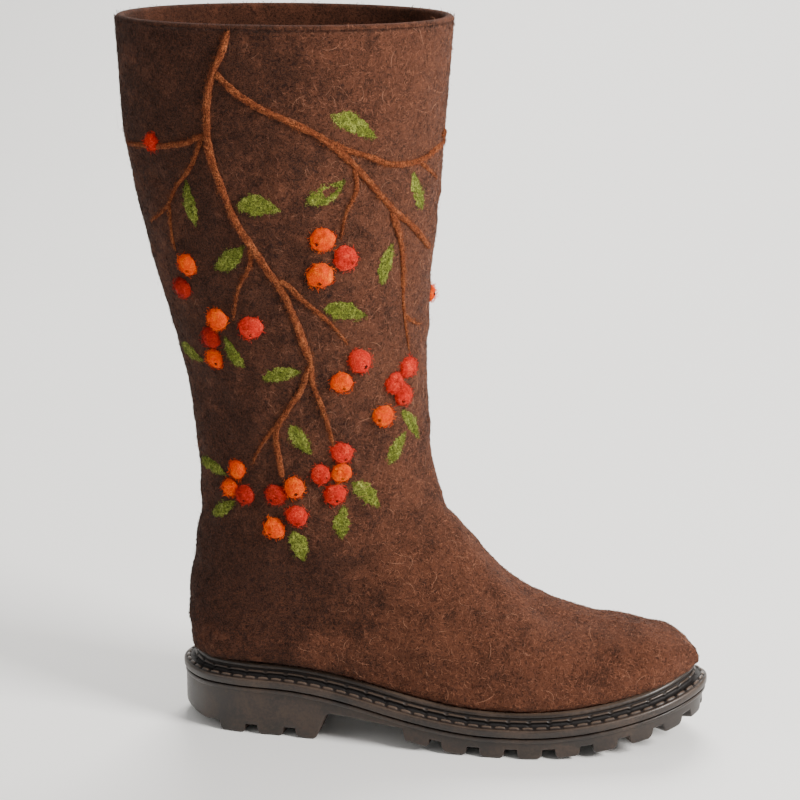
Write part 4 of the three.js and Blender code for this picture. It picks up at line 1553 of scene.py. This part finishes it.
class Skin:
    """The felt's outer surface, to place things on."""

    def __init__(self, upper: Upper, view: PhotoView) -> None:
        """Keep the surface as a search tree."""
        rings = upper.outside
        self.view = view
        self.plan = upper.plan
        self.rings = rings
        self.normals = upper.normals(rings)
        faces = grid_faces(rings.shape[0], rings.shape[1], True, False)
        self.tree = BVHTree.FromPolygons(rings.reshape(-1, 3).tolist(), faces.tolist())

    def cast(self, px: float, py: float, side: Side, middle_px: float = 205.0) -> Array:
        """Return the place on the felt that shows at a pixel of the photo.

        Args:
            px, py: the pixel.
            side: the side of the boot. The inner side is seen as in a mirror.
            middle_px: a pixel column on the boot, to move to where the ray misses.

        Returns:
            The point.
        """
        turn = np.array([1.0, side.value, 1.0])
        for _ in range(80):
            hit = self.tree.ray_cast(
                Vector(self.view.eye * turn), Vector(self.view.ray(px, py) * turn)
            )
            if hit[0] is not None:
                return np.array(hit[0])
            px += math.copysign(1.5, middle_px - px)
        return np.array(self.tree.find_nearest(Vector(self.view.aim))[0])

    def press(self, points: Array) -> tuple[Array, Array]:
        """Return the nearest places on the felt and the outward normals there."""
        found = [self.tree.find_nearest(Vector(p)) for p in points.reshape(-1, 3).tolist()]
        places = np.array([tuple(f[0]) for f in found]).reshape(points.shape)
        normals = np.array([tuple(f[1]) for f in found]).reshape(points.shape)
        return places, normals

    def scatter(self, count: int, rng: np.random.Generator, lowest: float) -> tuple[Array, Array]:
        """Return random places on the felt, above a height over the outsole, with normals."""
        a, b = self.rings[:-1], self.rings[1:]
        step = np.linalg.norm(b - a, axis=-1)
        wide = np.linalg.norm(np.roll(a, -1, axis=1) - a, axis=-1)
        shown = a[..., 2] > self.plan.bed(a[..., 0]) + lowest
        area = (step * wide * shown).ravel()
        cells = rng.choice(area.size, size=count, p=area / area.sum())
        row, column = np.divmod(cells, self.rings.shape[1])
        after = (column + 1) % self.rings.shape[1]
        u, v = rng.random((2, count, 1))
        corners = [(row, column), (row, after), (row + 1, column), (row + 1, after)]
        weights = [(1 - u) * (1 - v), (1 - u) * v, u * (1 - v), u * v]
        place = sum(self.rings[i, j] * w for (i, j), w in zip(corners, weights))
        normal = sum(self.normals[i, j] * w for (i, j), w in zip(corners, weights))
        return place, unit(normal)


@dataclass(frozen=True)
class Hairs:
    """Thin wool hairs that lie on a surface, each a short curved ribbon.

    Attributes:
        length: shortest and longest, in millimetres.
        width: width of a ribbon.
        lift: how far the middle of a hair stands off.
        curl: how far a hair bends to the side, as a share of its length.
        seed: start of the random numbers.
        parts: how many straight parts it has.
        upright: how far it may stand up at one end, as a share of its length.
        wave: how far it winds to both sides, as a share of its length.
    """

    length: tuple[float, float]
    width: float
    lift: float
    curl: float
    seed: int
    parts: int = 2
    upright: float = 0.0
    wave: float = 0.0

    def grow(self, shape: Shape, place: Array, normal: Array) -> None:
        """Add one hair at each place."""
        rng = np.random.default_rng(self.seed)
        count = len(place)
        along = unit(np.cross(normal, rng.normal(size=(count, 3))))
        across = np.cross(normal, along)
        length = rng.uniform(*self.length, (count, 1))
        bend = rng.normal(size=(count, 1)) * self.curl * length
        lift = rng.gamma(2.0, 0.5, (count, 1)) * self.lift
        lean = unit(across + normal * rng.normal(size=(count, 1)) * 0.6)
        rise = rng.random((count, 1)) * self.upright * length
        wind = rng.choice([-1.0, 1.0], (count, 1)) * self.wave * length
        rows = []
        for share in np.linspace(-0.5, 0.5, self.parts + 1):
            arch = 1.0 - 4.0 * share * share
            aside = bend * arch + wind * math.sin(2.0 * math.pi * share * 1.3)
            height = 0.05 + lift * (arch * 0.7 + (share + 0.5) * 0.5) + rise * (share + 0.5)
            spine = place + along * length * share + across * aside + normal * height
            half = lean * self.width * (0.3 + 0.7 * arch) / 2
            rows.append(np.stack([spine - half, spine + half], axis=1))
        strip = np.stack(rows, axis=1)
        first = (np.arange(count)[:, None] * (self.parts + 1) + np.arange(self.parts)) * 2
        quads = first[..., None] + np.array([0, 1, 3, 2])
        shape.add(strip.reshape(-1, 3), quads.reshape(-1, 4))


@dataclass
class Nap:
    """The hairs of the felt: a short nap in three tones, curls and longer stray hairs."""

    skin: Skin
    lowest: float = 12.5

    def build(self, palette: Palette) -> None:
        """Make each kind of hair."""
        kinds = (
            ("nap_dark", 9000, Hairs((1.4, 3.0), 0.34, 0.12, 0.25, 21), Palette.HAIR_DARK),
            ("nap_brown", 26000, Hairs((1.4, 3.0), 0.32, 0.16, 0.3, 24), Palette.HAIR_BROWN),
            ("nap_light", 18000, Hairs((1.2, 2.6), 0.32, 0.2, 0.35, 22), Palette.HAIR_LIGHT),
            ("nap_curl", 15000, Hairs((1.6, 3.6), 0.17, 0.22, 0.15, 25, parts=4, upright=0.1, wave=0.08),
             Palette.HAIR_CURL),
            ("nap_stray", 900, Hairs((4.0, 11.0), 0.12, 0.5, 0.3, 23, parts=6, upright=0.2),
             Palette.HAIR_STRAY),
        )
        for name, count, hairs, finish in kinds:
            shape = Shape()
            rng = np.random.default_rng(hairs.seed + 100)
            hairs.grow(shape, *self.skin.scatter(count, rng, self.lowest))
            piece = shape.make(name)
            palette.give(piece, finish)
            keep(piece, "felt")


class Tone(Enum):
    """Tone of a berry, by its finish."""

    RED = "red"
    ORANGE = "orange"
    CRIMSON = "crimson"


@dataclass(frozen=True)
class Berry:
    """A felted berry, placed by its middle in the photo.

    Attributes:
        px, py: the photo's pixel.
        tone: its colour.
        size_px: its radius in the photo.
        dot: direction of its dark dot from the middle, in degrees clockwise from the right.
        beyond: how far it lies further round to the right than the pixel, in millimetres.
    """

    px: float
    py: float
    tone: Tone
    size_px: float = 13.5
    dot: float = 90.0
    beyond: float = 0.0


@dataclass(frozen=True)
class Leaf:
    """A leaf between two tips in the photo's pixels, with its width there.

    Attributes:
        tip, stalk: the pixels of its ends.
        wide_px: its width.
        bend_px: how far it bows to the side.
        hollow: depth of the gap in its middle, in millimetres, where the felt shows through.
    """

    tip: tuple[float, float]
    stalk: tuple[float, float]
    wide_px: float
    bend_px: float = 2.0
    hollow: float = 0.0


@dataclass(frozen=True)
class Branch:
    """A branch through pixels of the photo, with its width at both ends."""

    route: tuple[tuple[float, float], ...]
    start_px: float
    end_px: float


@dataclass
class Sprig:
    """The needle-felted rowan sprig on one side of the shaft.

    Attributes:
        skin: the felt that carries it.
        side: the side of the boot.
        shift_px: how far it is moved towards the toe, in the photo's pixels.
        px_per_mm: the photo's pixels in a millimetre of the shaft.
        berry_height: height of a berry as a share of its radius.
        leaf_height: height of a leaf in millimetres.
        step: distance between the rings of a branch.
        branch_round: how many points a ring of a branch has.
        fuzz_reach: how far to the side a branch's hairs grow, as a share of its width.
        leaf_rows, leaf_columns: how many rows and columns of points a leaf has.
        leaf_hairs, berry_hairs: how many hairs one leaf and one berry have.
        berry_round, berry_rings: how many points a ring of a berry has, and how many rings.
        dot_tilt, dot_spread: degrees from a berry's top to its dot, and from the dot's middle to its rim.
    """

    skin: Skin
    side: Side
    shift_px: float = 0.0
    px_per_mm: float = 2.45
    berry_height: float = 0.66
    leaf_height: float = 0.9
    step: float = 1.0
    branch_round: int = 16
    fuzz_reach: float = 0.62
    leaf_rows: int = 31
    leaf_columns: int = 15
    leaf_hairs: int = 150
    berry_hairs: int = 200
    berry_round: int = 26
    berry_rings: int = 11
    dot_tilt: float = 34.0
    dot_spread: float = 10.5
    branches: tuple[Branch, ...] = (
        Branch(((96, -122), (88, -96), (76, -66), (70, -34), (70, 0), (73, 33), (89, 79), (107, 122),
                (125, 150), (145, 179), (166, 209), (181, 242), (194, 276), (204, 300)), 8.5, 9.5),
        Branch(((203, 297), (205, 323), (217, 356), (227, 384), (232, 405)), 7.5, 5.0),
        Branch(((202, 302), (191, 333), (173, 361), (161, 382), (161, 407), (168, 446)), 7.5, 6.0),
        Branch(((164, 378), (153, 387), (138, 410), (130, 428)), 5.0, 3.0),
        Branch(((76, 24), (64, 13), (46, 20), (10, 25), (-30, 22)), 7.5, 6.0),
        Branch(((64, 14), (61, 22), (48, 54), (31, 77), (20, 102), (0, 120)), 6.0, 3.5),
        Branch(((23, 100), (26, 138), (32, 160)), 4.5, 3.0),
        Branch(((125, 150), (125, 176), (110, 209), (105, 245)), 6.0, 3.0),
        Branch(((158, 196), (172, 201), (191, 219), (217, 240), (237, 260), (250, 277)), 7.5, 3.0),
        Branch(((78, -70), (104, -44), (134, -24), (160, -12), (186, 0), (212, 13), (237, 31), (258, 51),
                (281, 77), (306, 105), (332, 128), (352, 153)), 8.0, 8.5),
        Branch(((226, 20), (242, 28), (275, 38), (306, 48), (339, 43), (367, 22), (392, 2)), 8.0, 6.0),
        Branch(((339, 44), (350, 53), (361, 65)), 5.5, 3.0),
        Branch(((256, 50), (260, 79), (247, 110), (240, 143)), 6.0, 3.5),
        Branch(((304, 106), (316, 148), (319, 184), (320, 230), (327, 284)), 8.5, 3.5),
        Branch(((321, 238), (332, 247), (343, 250)), 5.5, 2.5),
    )
    berries: tuple[Berry, ...] = (
        Berry(0, 20, Tone.RED, 11, 120), Berry(46, 175, Tone.ORANGE, 13.5, 60),
        Berry(41, 205, Tone.CRIMSON, 13.5, 100), Berry(84, 245, Tone.ORANGE, 14.5, 150),
        Berry(77, 268, Tone.CRIMSON, 13.5, 200), Berry(82, 294, Tone.ORANGE, 12.5, 40),
        Berry(127, 255, Tone.RED, 15, 80), Berry(217, 143.5, Tone.ORANGE, 15, 150),
        Berry(246, 166.5, Tone.RED, 15.5, 30), Berry(214.5, 189, Tone.ORANGE, 16, 100),
        Berry(356, 213, Tone.ORANGE, 11, 180, 6.0), Berry(265, 297, Tone.RED, 15, 50),
        Berry(242, 324, Tone.ORANGE, 13.5, 70), Berry(326, 304, Tone.RED, 13.5, 60),
        Berry(309, 325, Tone.RED, 13.5, 40), Berry(320, 339, Tone.RED, 13.5, 120),
        Berry(295, 366, Tone.ORANGE, 14, 160), Berry(111, 434.5, Tone.ORANGE, 11.8, 180),
        Berry(102, 457.5, Tone.ORANGE, 11.5, 180), Berry(120.5, 466.5, Tone.CRIMSON, 12.8, 70),
        Berry(160, 466.5, Tone.CRIMSON, 13.8, 130), Berry(183, 457.5, Tone.ORANGE, 13.5, 60),
        Berry(186.5, 493, Tone.RED, 13.8, 75), Berry(158, 508.5, Tone.ORANGE, 13.5, 120),
        Berry(243, 413, Tone.RED, 13.5, 60), Berry(216.5, 440.5, Tone.RED, 12.8, 20),
        Berry(242.5, 438, Tone.ORANGE, 12.8, 80), Berry(234.5, 465.5, Tone.RED, 14, 65),
    )
    leaves: tuple[Leaf, ...] = (
        Leaf((56, 125), (44, 70), 22), Leaf((108, 101), (163, 107), 29, 4),
        Leaf((197, 97), (244, 69), 26, -4, 1.6), Leaf((228, -14), (284, 14), 26, 3),
        Leaf((343, 104), (331, 58), 22), Leaf((293, 199), (305, 148), 22, 2),
        Leaf((219, 231), (272, 240), 27, 3), Leaf((82, 181), (117, 153), 26, -2),
        Leaf((40, 276), (66, 297), 22), Leaf((117, 305), (95, 268), 20, 2),
        Leaf((143, 320), (189, 311), 22, 2), Leaf((178, 379), (204, 414), 24, -2),
        Leaf((319, 359), (339, 393), 19), Leaf((304, 426), (322, 387), 22, 2),
        Leaf((67, 421), (97, 441), 21, 2), Leaf((80, 490), (108, 475), 20, -2),
        Leaf((257, 451), (290, 480), 26, 2), Leaf((244, 520), (246, 480), 23, 2),
        Leaf((182, 512), (194, 549), 27, 2),
    )

    def build(self, palette: Palette) -> None:
        """Make the branches, leaves and berries of this side."""
        label = self.side.name.lower()
        self.finish(self.branch_shape(), f"branches_{label}", palette, Palette.BRANCH)
        self.finish(self.leaf_shape(), f"leaves_{label}", palette, Palette.LEAF)
        finishes = {Tone.RED: Palette.RED, Tone.ORANGE: Palette.ORANGE, Tone.CRIMSON: Palette.CRIMSON}
        for tone, finish in finishes.items():
            shape = Shape()
            for number, berry in enumerate(self.berries):
                if berry.tone is tone and self.carries(berry):
                    self.add_berry(shape, berry, number)
            self.finish(shape, f"berries_{tone.value}_{label}", palette, finish)
        dots = Shape()
        for number, berry in enumerate(self.berries):
            if self.carries(berry):
                self.add_dot(dots, berry, number)
        self.finish(dots, f"calyxes_{label}", palette, Palette.CALYX)

    def carries(self, berry: Berry) -> bool:
        """Return whether this side has the berry. The one at the very front is only on the outer side."""
        return self.side is Side.OUTER or berry.beyond == 0

    def cast(self, px: float, py: float) -> Array:
        """Return the place on the felt for a pixel of the photo."""
        return self.skin.cast(px + self.shift_px, py, self.side)

    @staticmethod
    def finish(shape: Shape, name: str, palette: Palette, finish: YarnFinish) -> None:
        """Make one piece of the sprig."""
        piece = shape.make(name)
        palette.give(piece, finish)
        keep(piece, "felt")

    def branch_shape(self) -> Shape:
        """Return all branches as twisted wool strands pressed into the felt."""
        shape = Shape()
        rng = np.random.default_rng(31)
        for branch in self.branches:
            path, normal = self.path(branch.route)
            share = np.linspace(0.0, 1.0, len(path))[:, None]
            width = lerp(branch.start_px, branch.end_px, share) / self.px_per_mm
            marks = np.arange(0, len(path) + 6, 6)
            wobble = np.interp(np.arange(len(path)), marks, rng.normal(size=len(marks)))[:, None]
            ends = np.minimum(share, 1.0 - share) * len(path) * self.step / 3.0
            width = width * (1.0 + 0.1 * wobble) * np.sqrt(np.clip(ends, 0.02, 1.0))
            along = unit(np.gradient(path, axis=0))
            across = np.cross(normal, along)
            turn = np.arange(self.branch_round) / self.branch_round * 2 * math.pi
            run = np.arange(len(path))[:, None] * self.step
            sway = np.sin(run * 0.21 + rng.uniform(0, 6)) * 1.1
            sway = sway + np.sin(run * 0.083 + rng.uniform(0, 6)) * 1.6
            ply = 1.0 + 0.1 * np.cos(3.0 * turn + sway) + 0.09 * np.cos(7.0 * turn - sway * 2.0)
            ply = ply + 0.07 * rng.normal(size=(len(path), self.branch_round))
            side = (width / 2 * ply * np.cos(turn))[..., None] * across[:, None]
            up = (width * 0.42 * ply * np.sin(turn) + width * 0.03)[..., None] * normal[:, None]
            rings = path[:, None] + side + up
            numbers = shape.add_grid(rings)
            shape.add_tip(numbers[0], path[0], turned=True)
            shape.add_tip(numbers[-1], path[-1])
            self.fuzz(path, across, width, rng, shape)
        return shape

    def fuzz(self, path: Array, across: Array, width: Array, rng: np.random.Generator,
             shape: Shape) -> None:
        """Add short hairs that stick out of a branch on both sides."""
        picked = rng.integers(0, len(path), len(path) * 4)
        offset = rng.uniform(-self.fuzz_reach, self.fuzz_reach, (len(picked), 1))
        place, normal = self.skin.press(path[picked] + across[picked] * width[picked] * offset)
        lift = width[picked] * 0.34 * np.sqrt(np.maximum(0.0, 1.0 - (offset / self.fuzz_reach) ** 2))
        hairs = Hairs((1.2, 3.4), 0.2, 0.2, 0.3, int(rng.integers(1, 9999)), upright=0.3)
        hairs.grow(shape, place + normal * lift, normal)

    def path(self, route: tuple[tuple[float, float], ...]) -> tuple[Array, Array]:
        """Return even places on the felt along a route in the photo, with normals."""
        corners = np.array([route[0], *route, route[-1]], dtype=float)
        pixels = []
        for a, b, c, d in zip(corners, corners[1:], corners[2:], corners[3:]):
            count = max(2, int(np.hypot(*(c - b)) / 3.0))
            t = (np.arange(count) / count)[:, None]
            pixels.append(
                0.5 * (2 * b + (c - a) * t + (2 * a - 5 * b + 4 * c - d) * t**2
                       + (3 * b - a - 3 * c + d) * t**3)
            )
        pixels.append(corners[-1:])
        places = np.array([self.cast(px, py) for px, py in np.concatenate(pixels)])
        gaps = np.linalg.norm(np.diff(places, axis=0), axis=1)
        places = places[np.concatenate([[True], gaps > 0.05])]
        runs = np.concatenate([[0.0], np.cumsum(np.linalg.norm(np.diff(places, axis=0), axis=1))])
        even = np.arange(0.0, runs[-1], self.step)
        return self.skin.press(np.column_stack([np.interp(even, runs, places[:, k]) for k in range(3)]))

    def leaf_shape(self) -> Shape:
        """Return all leaves as raised pointed pads with ragged edges."""
        shape = Shape()
        for number, leaf in enumerate(self.leaves):
            rng = np.random.default_rng(400 + number)
            self.add_leaf(shape, leaf, rng)
        return shape

    def add_leaf(self, shape: Shape, leaf: Leaf, rng: np.random.Generator) -> None:
        """Add one leaf."""
        tip, stalk = (self.cast(*end) for end in (leaf.tip, leaf.stalk))
        rows, columns = self.leaf_rows, self.leaf_columns
        u = np.linspace(0.0, 1.0, rows)[:, None]
        v = np.linspace(-1.0, 1.0, columns)[None, :]
        line, normal = self.skin.press(lerp(tip, stalk, u))
        along = unit(stalk - tip)
        across = unit(np.cross(normal, along))
        half = leaf.wide_px / self.px_per_mm / 2
        outline = np.sin(math.pi * u**0.85) ** 0.72 * (1.0 - 0.12 * u)
        teeth = [1.0 + 0.15 * np.interp(u, np.linspace(0, 1, 19), rng.normal(size=19)) for _ in range(2)]
        ragged = lerp(teeth[0], teeth[1], (v + 1.0) / 2)
        bow = leaf.bend_px / self.px_per_mm * np.sin(math.pi * u)
        reach = v * half * np.maximum(outline * ragged, 0.02) + bow
        flat = line[:, None] + across[:, None] * reach[..., None]
        place, out = self.skin.press(flat)
        strands = 0.16 * np.sin(v * 9.0 + u * 14.0 + rng.uniform(0, 6))
        strands = strands + 0.14 * rng.normal(size=(rows, columns))
        vein = -0.22 * np.exp(-((v / 0.16) ** 2))
        pad = self.leaf_height * (1.0 - np.abs(v) ** 3.0) * (1.0 - np.abs(2 * u - 1) ** 6)
        gap = leaf.hollow * np.exp(-((v - 0.15) / 0.42) ** 2 - ((u - 0.6) / 0.2) ** 2)
        lift = pad * (1.0 + strands + vein) - 0.25 - gap
        over = place + out * lift[..., None]
        under = place - out * 0.7
        under[:, [0, -1]] = over[:, [0, -1]]
        under[[0, -1]] = over[[0, -1]]
        shape.add_grid(over, closed=False, turned=True)
        shape.add_grid(under, closed=False)
        hairs = Hairs((1.2, 3.0), 0.24, 0.25, 0.3, int(rng.integers(1, 9999)), upright=0.3)
        picked = rng.integers(0, rows * columns, self.leaf_hairs)
        hairs.grow(shape, over.reshape(-1, 3)[picked], out.reshape(-1, 3)[picked])

    def berry_frame(self, berry: Berry) -> tuple[Array, Array, Array, Array, float]:
        """Return a berry's middle, its normal, its right and down directions, and its radius."""
        centre = self.cast(berry.px, berry.py)
        _, normal = self.skin.press(centre[None])
        normal = normal[0]
        right = unit(np.cross(np.array([0.0, 0.0, 1.0]), normal) * self.side.value)
        if berry.beyond:
            centre, turned = (v[0] for v in self.skin.press((centre + right * berry.beyond)[None]))
            normal = unit(turned)
            right = unit(np.cross(np.array([0.0, 0.0, 1.0]), normal) * self.side.value)
        down = unit(np.cross(normal, right) * self.side.value)
        if down[2] > 0:
            down = -down
        return centre, normal, right, down, berry.size_px / self.px_per_mm

    def berry_surface(self, berry: Berry, number: int, turn: Array, tilt: Array) -> tuple[Array, Array]:
        """Return points of a berry's dome and its normals.

        Args:
            berry: the berry.
            number: its number, which seeds its unevenness.
            turn: angle round it.
            tilt: angle from its top.

        Returns:
            The points and the outward directions.
        """
        centre, normal, right, down, radius = self.berry_frame(berry)
        rng = np.random.default_rng(500 + number)
        phase = rng.uniform(0, 2 * math.pi, 4)
        round_ = 1.0 + 0.045 * np.sin(2 * turn + phase[0]) + 0.035 * np.sin(3 * turn + phase[1])
        round_ = round_ + 0.03 * np.sin(7 * turn + phase[3])
        side = right * np.cos(turn)[..., None] + down * np.sin(turn)[..., None]
        flat = centre + side * (radius * round_ * np.sin(tilt))[..., None]
        place, out = self.skin.press(flat)
        dent = 1.0 + 0.05 * np.sin(3 * tilt + turn * 2 + phase[2])
        dent = dent + 0.045 * np.sin(9 * tilt + phase[0]) * np.cos(5 * turn + phase[1])
        lift = radius * self.berry_height * np.cos(tilt) * dent - 0.2
        outward = side * np.sin(tilt)[..., None] + normal * np.cos(tilt)[..., None]
        return place + out * lift[..., None], unit(outward)

    def add_berry(self, shape: Shape, berry: Berry, number: int) -> None:
        """Add one berry with its fuzz."""
        across, high = self.berry_round, self.berry_rings
        turn = (np.arange(across) / across * 2 * math.pi)[None].repeat(high, axis=0)
        tilt = np.radians(np.linspace(8.0, 104.0, high))[:, None].repeat(across, axis=1)
        rings, outward = self.berry_surface(berry, number, turn, tilt)
        self.add_dome(shape, rings)
        rng = np.random.default_rng(600 + number)
        picked = rng.integers(across, (high - 1) * across, self.berry_hairs)
        hairs = Hairs((1.2, 3.0), 0.26, 0.12, 0.3, 700 + number, upright=0.9)
        hairs.grow(shape, rings.reshape(-1, 3)[picked], outward.reshape(-1, 3)[picked])

    def add_dome(self, shape: Shape, rings: Array) -> None:
        """Add rings that run from a top to a foot, closed at both ends."""
        mirrored = self.side is Side.INNER
        numbers = shape.add_grid(rings, turned=mirrored)
        shape.add_tip(numbers[0], rings[0].mean(axis=0), turned=not mirrored)
        shape.add_tip(numbers[-1], rings[-1].mean(axis=0), turned=mirrored)

    def add_dot(self, shape: Shape, berry: Berry, number: int) -> None:
        """Add the dark dot of one berry, a small star of wool."""
        direction = math.radians(berry.dot)
        middle = np.array([math.cos(direction), math.sin(direction)]) * math.radians(self.dot_tilt)
        turn = np.arange(12) / 12 * 2 * math.pi
        rows = []
        for reach, lift in ((0.4, 0.22), (0.8, 0.18), (1.0, -0.1)):
            spread = math.radians(self.dot_spread) * reach * (1.0 + 0.25 * np.cos(5 * turn))
            flat = middle[:, None] + spread * np.array([np.cos(turn), np.sin(turn)])
            tilt = np.hypot(*flat)
            points, outward = self.berry_surface(berry, number, np.arctan2(flat[1], flat[0]), tilt)
            rows.append(points + outward * lift)
        self.add_dome(shape, np.stack(rows))


# Studio


@dataclass
class Studio:
    """Floor, lights and camera."""

    view: PhotoView
    centre: tuple[float, float, float] = (118.0, 0.0, 176.0)
    lens: float = 112.0
    floor_size: float = 6.0
    floor_columns: int = 9
    bend_start: float = 900.0
    bend_radius: float = 1400.0
    warmth: tuple[float, float, float] = (1.0, 0.97, 0.93)

    def build(self) -> None:
        """Set up everything that isn't the boot."""
        self.add_floor()
        self.add_world()
        self.add_lamp("key", (1500.0, -600.0, 1000.0), 600.0, 58.0)
        self.add_lamp("fill", (-1300.0, -1000.0, 900.0), 1000.0, 4.0)
        self.add_lamp("back", (100.0, 1400.0, 1700.0), 1000.0, 50.0)
        self.add_camera()

    def add_floor(self) -> None:
        """Add the plain pale floor, which curves up far behind the boot."""
        shape = Shape()
        half = self.floor_size / 2 / MM
        across = np.linspace(-half, half, self.floor_columns)
        start, radius = self.bend_start, self.bend_radius
        bend = [(-half, 0.0), (start, 0.0)]
        for degrees in np.linspace(8.0, 82.0, 12):
            turn = math.radians(degrees)
            bend.append((start + radius * math.sin(turn), radius * (1.0 - math.cos(turn))))
        bend.append((start + radius, half))
        rows = [np.column_stack([across, np.full_like(across, y), np.full_like(across, z)]) for y, z in bend]
        shape.add_grid(np.stack(rows), closed=False)
        floor = shape.make("floor")
        tree = NodeTree("floor_pale", {"Roughness": 0.7, "Specular IOR Level": 0.2})
        clouds = tree.noise(400.0, 2.0)
        tree.feed("Base Color", tree.blend(clouds, colour(246, 246, 245), colour(250, 250, 249)))
        floor.data.materials.append(tree.material)

    @staticmethod
    def add_world() -> None:
        """Add the even light from all round."""
        world = bpy.data.worlds.new("studio")
        world.use_nodes = True
        background = world.node_tree.nodes["Background"]
        background.inputs["Color"].default_value = (1.0, 0.99, 0.97, 1.0)
        background.inputs["Strength"].default_value = 0.46
        bpy.context.scene.world = world

    def add_lamp(self, name: str, place: tuple[float, float, float], size: float, power: float) -> None:
        """Add a square lamp that looks at the boot.

        Args:
            name: the lamp's name.
            place: where it stands.
            size: length of its side in millimetres.
            power: its power in watts.
        """
        light = bpy.data.lights.new(name, "AREA")
        light.shape = "SQUARE"
        light.size = size * MM
        light.energy = power
        light.color = self.warmth
        lamp = bpy.data.objects.new(name, light)
        bpy.context.scene.collection.objects.link(lamp)
        self.aim(lamp, np.array(place))

    def aim(self, thing: bpy.types.Object, place: Array) -> None:
        """Put a lamp or the camera at a place and turn it towards the boot."""
        start = Vector(to_frame(place))
        end = Vector(to_frame(np.array(self.centre)))
        thing.location = start
        thing.rotation_euler = (end - start).to_track_quat("-Z", "Y").to_euler()

    def add_camera(self) -> None:
        """Add the camera, at the place of the photo's camera."""
        data = bpy.data.cameras.new("camera")
        data.sensor_width = 36.0
        data.lens = self.lens
        data.clip_end = 20.0
        camera = bpy.data.objects.new("camera", data)
        bpy.context.scene.collection.objects.link(camera)
        self.aim(camera, self.view.eye)
        bpy.context.scene.camera = camera


def main() -> None:
    """Build the boot and the studio."""
    logging.basicConfig(level=logging.INFO, format="%(message)s")
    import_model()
    palette = Palette()
    plan = SolePlan()
    view = PhotoView()
    upper = Upper(plan)
    upper.build(palette)
    Insole(plan).build(palette)
    Welt(plan).build(palette)
    Outsole(plan).build(palette)
    skin = Skin(upper, view)
    Nap(skin).build(palette)
    Sprig(skin, Side.OUTER).build(palette)
    Sprig(skin, Side.INNER, shift_px=-14.0).build(palette)
    Studio(view).build()


if __name__ == "__main__":
    main()
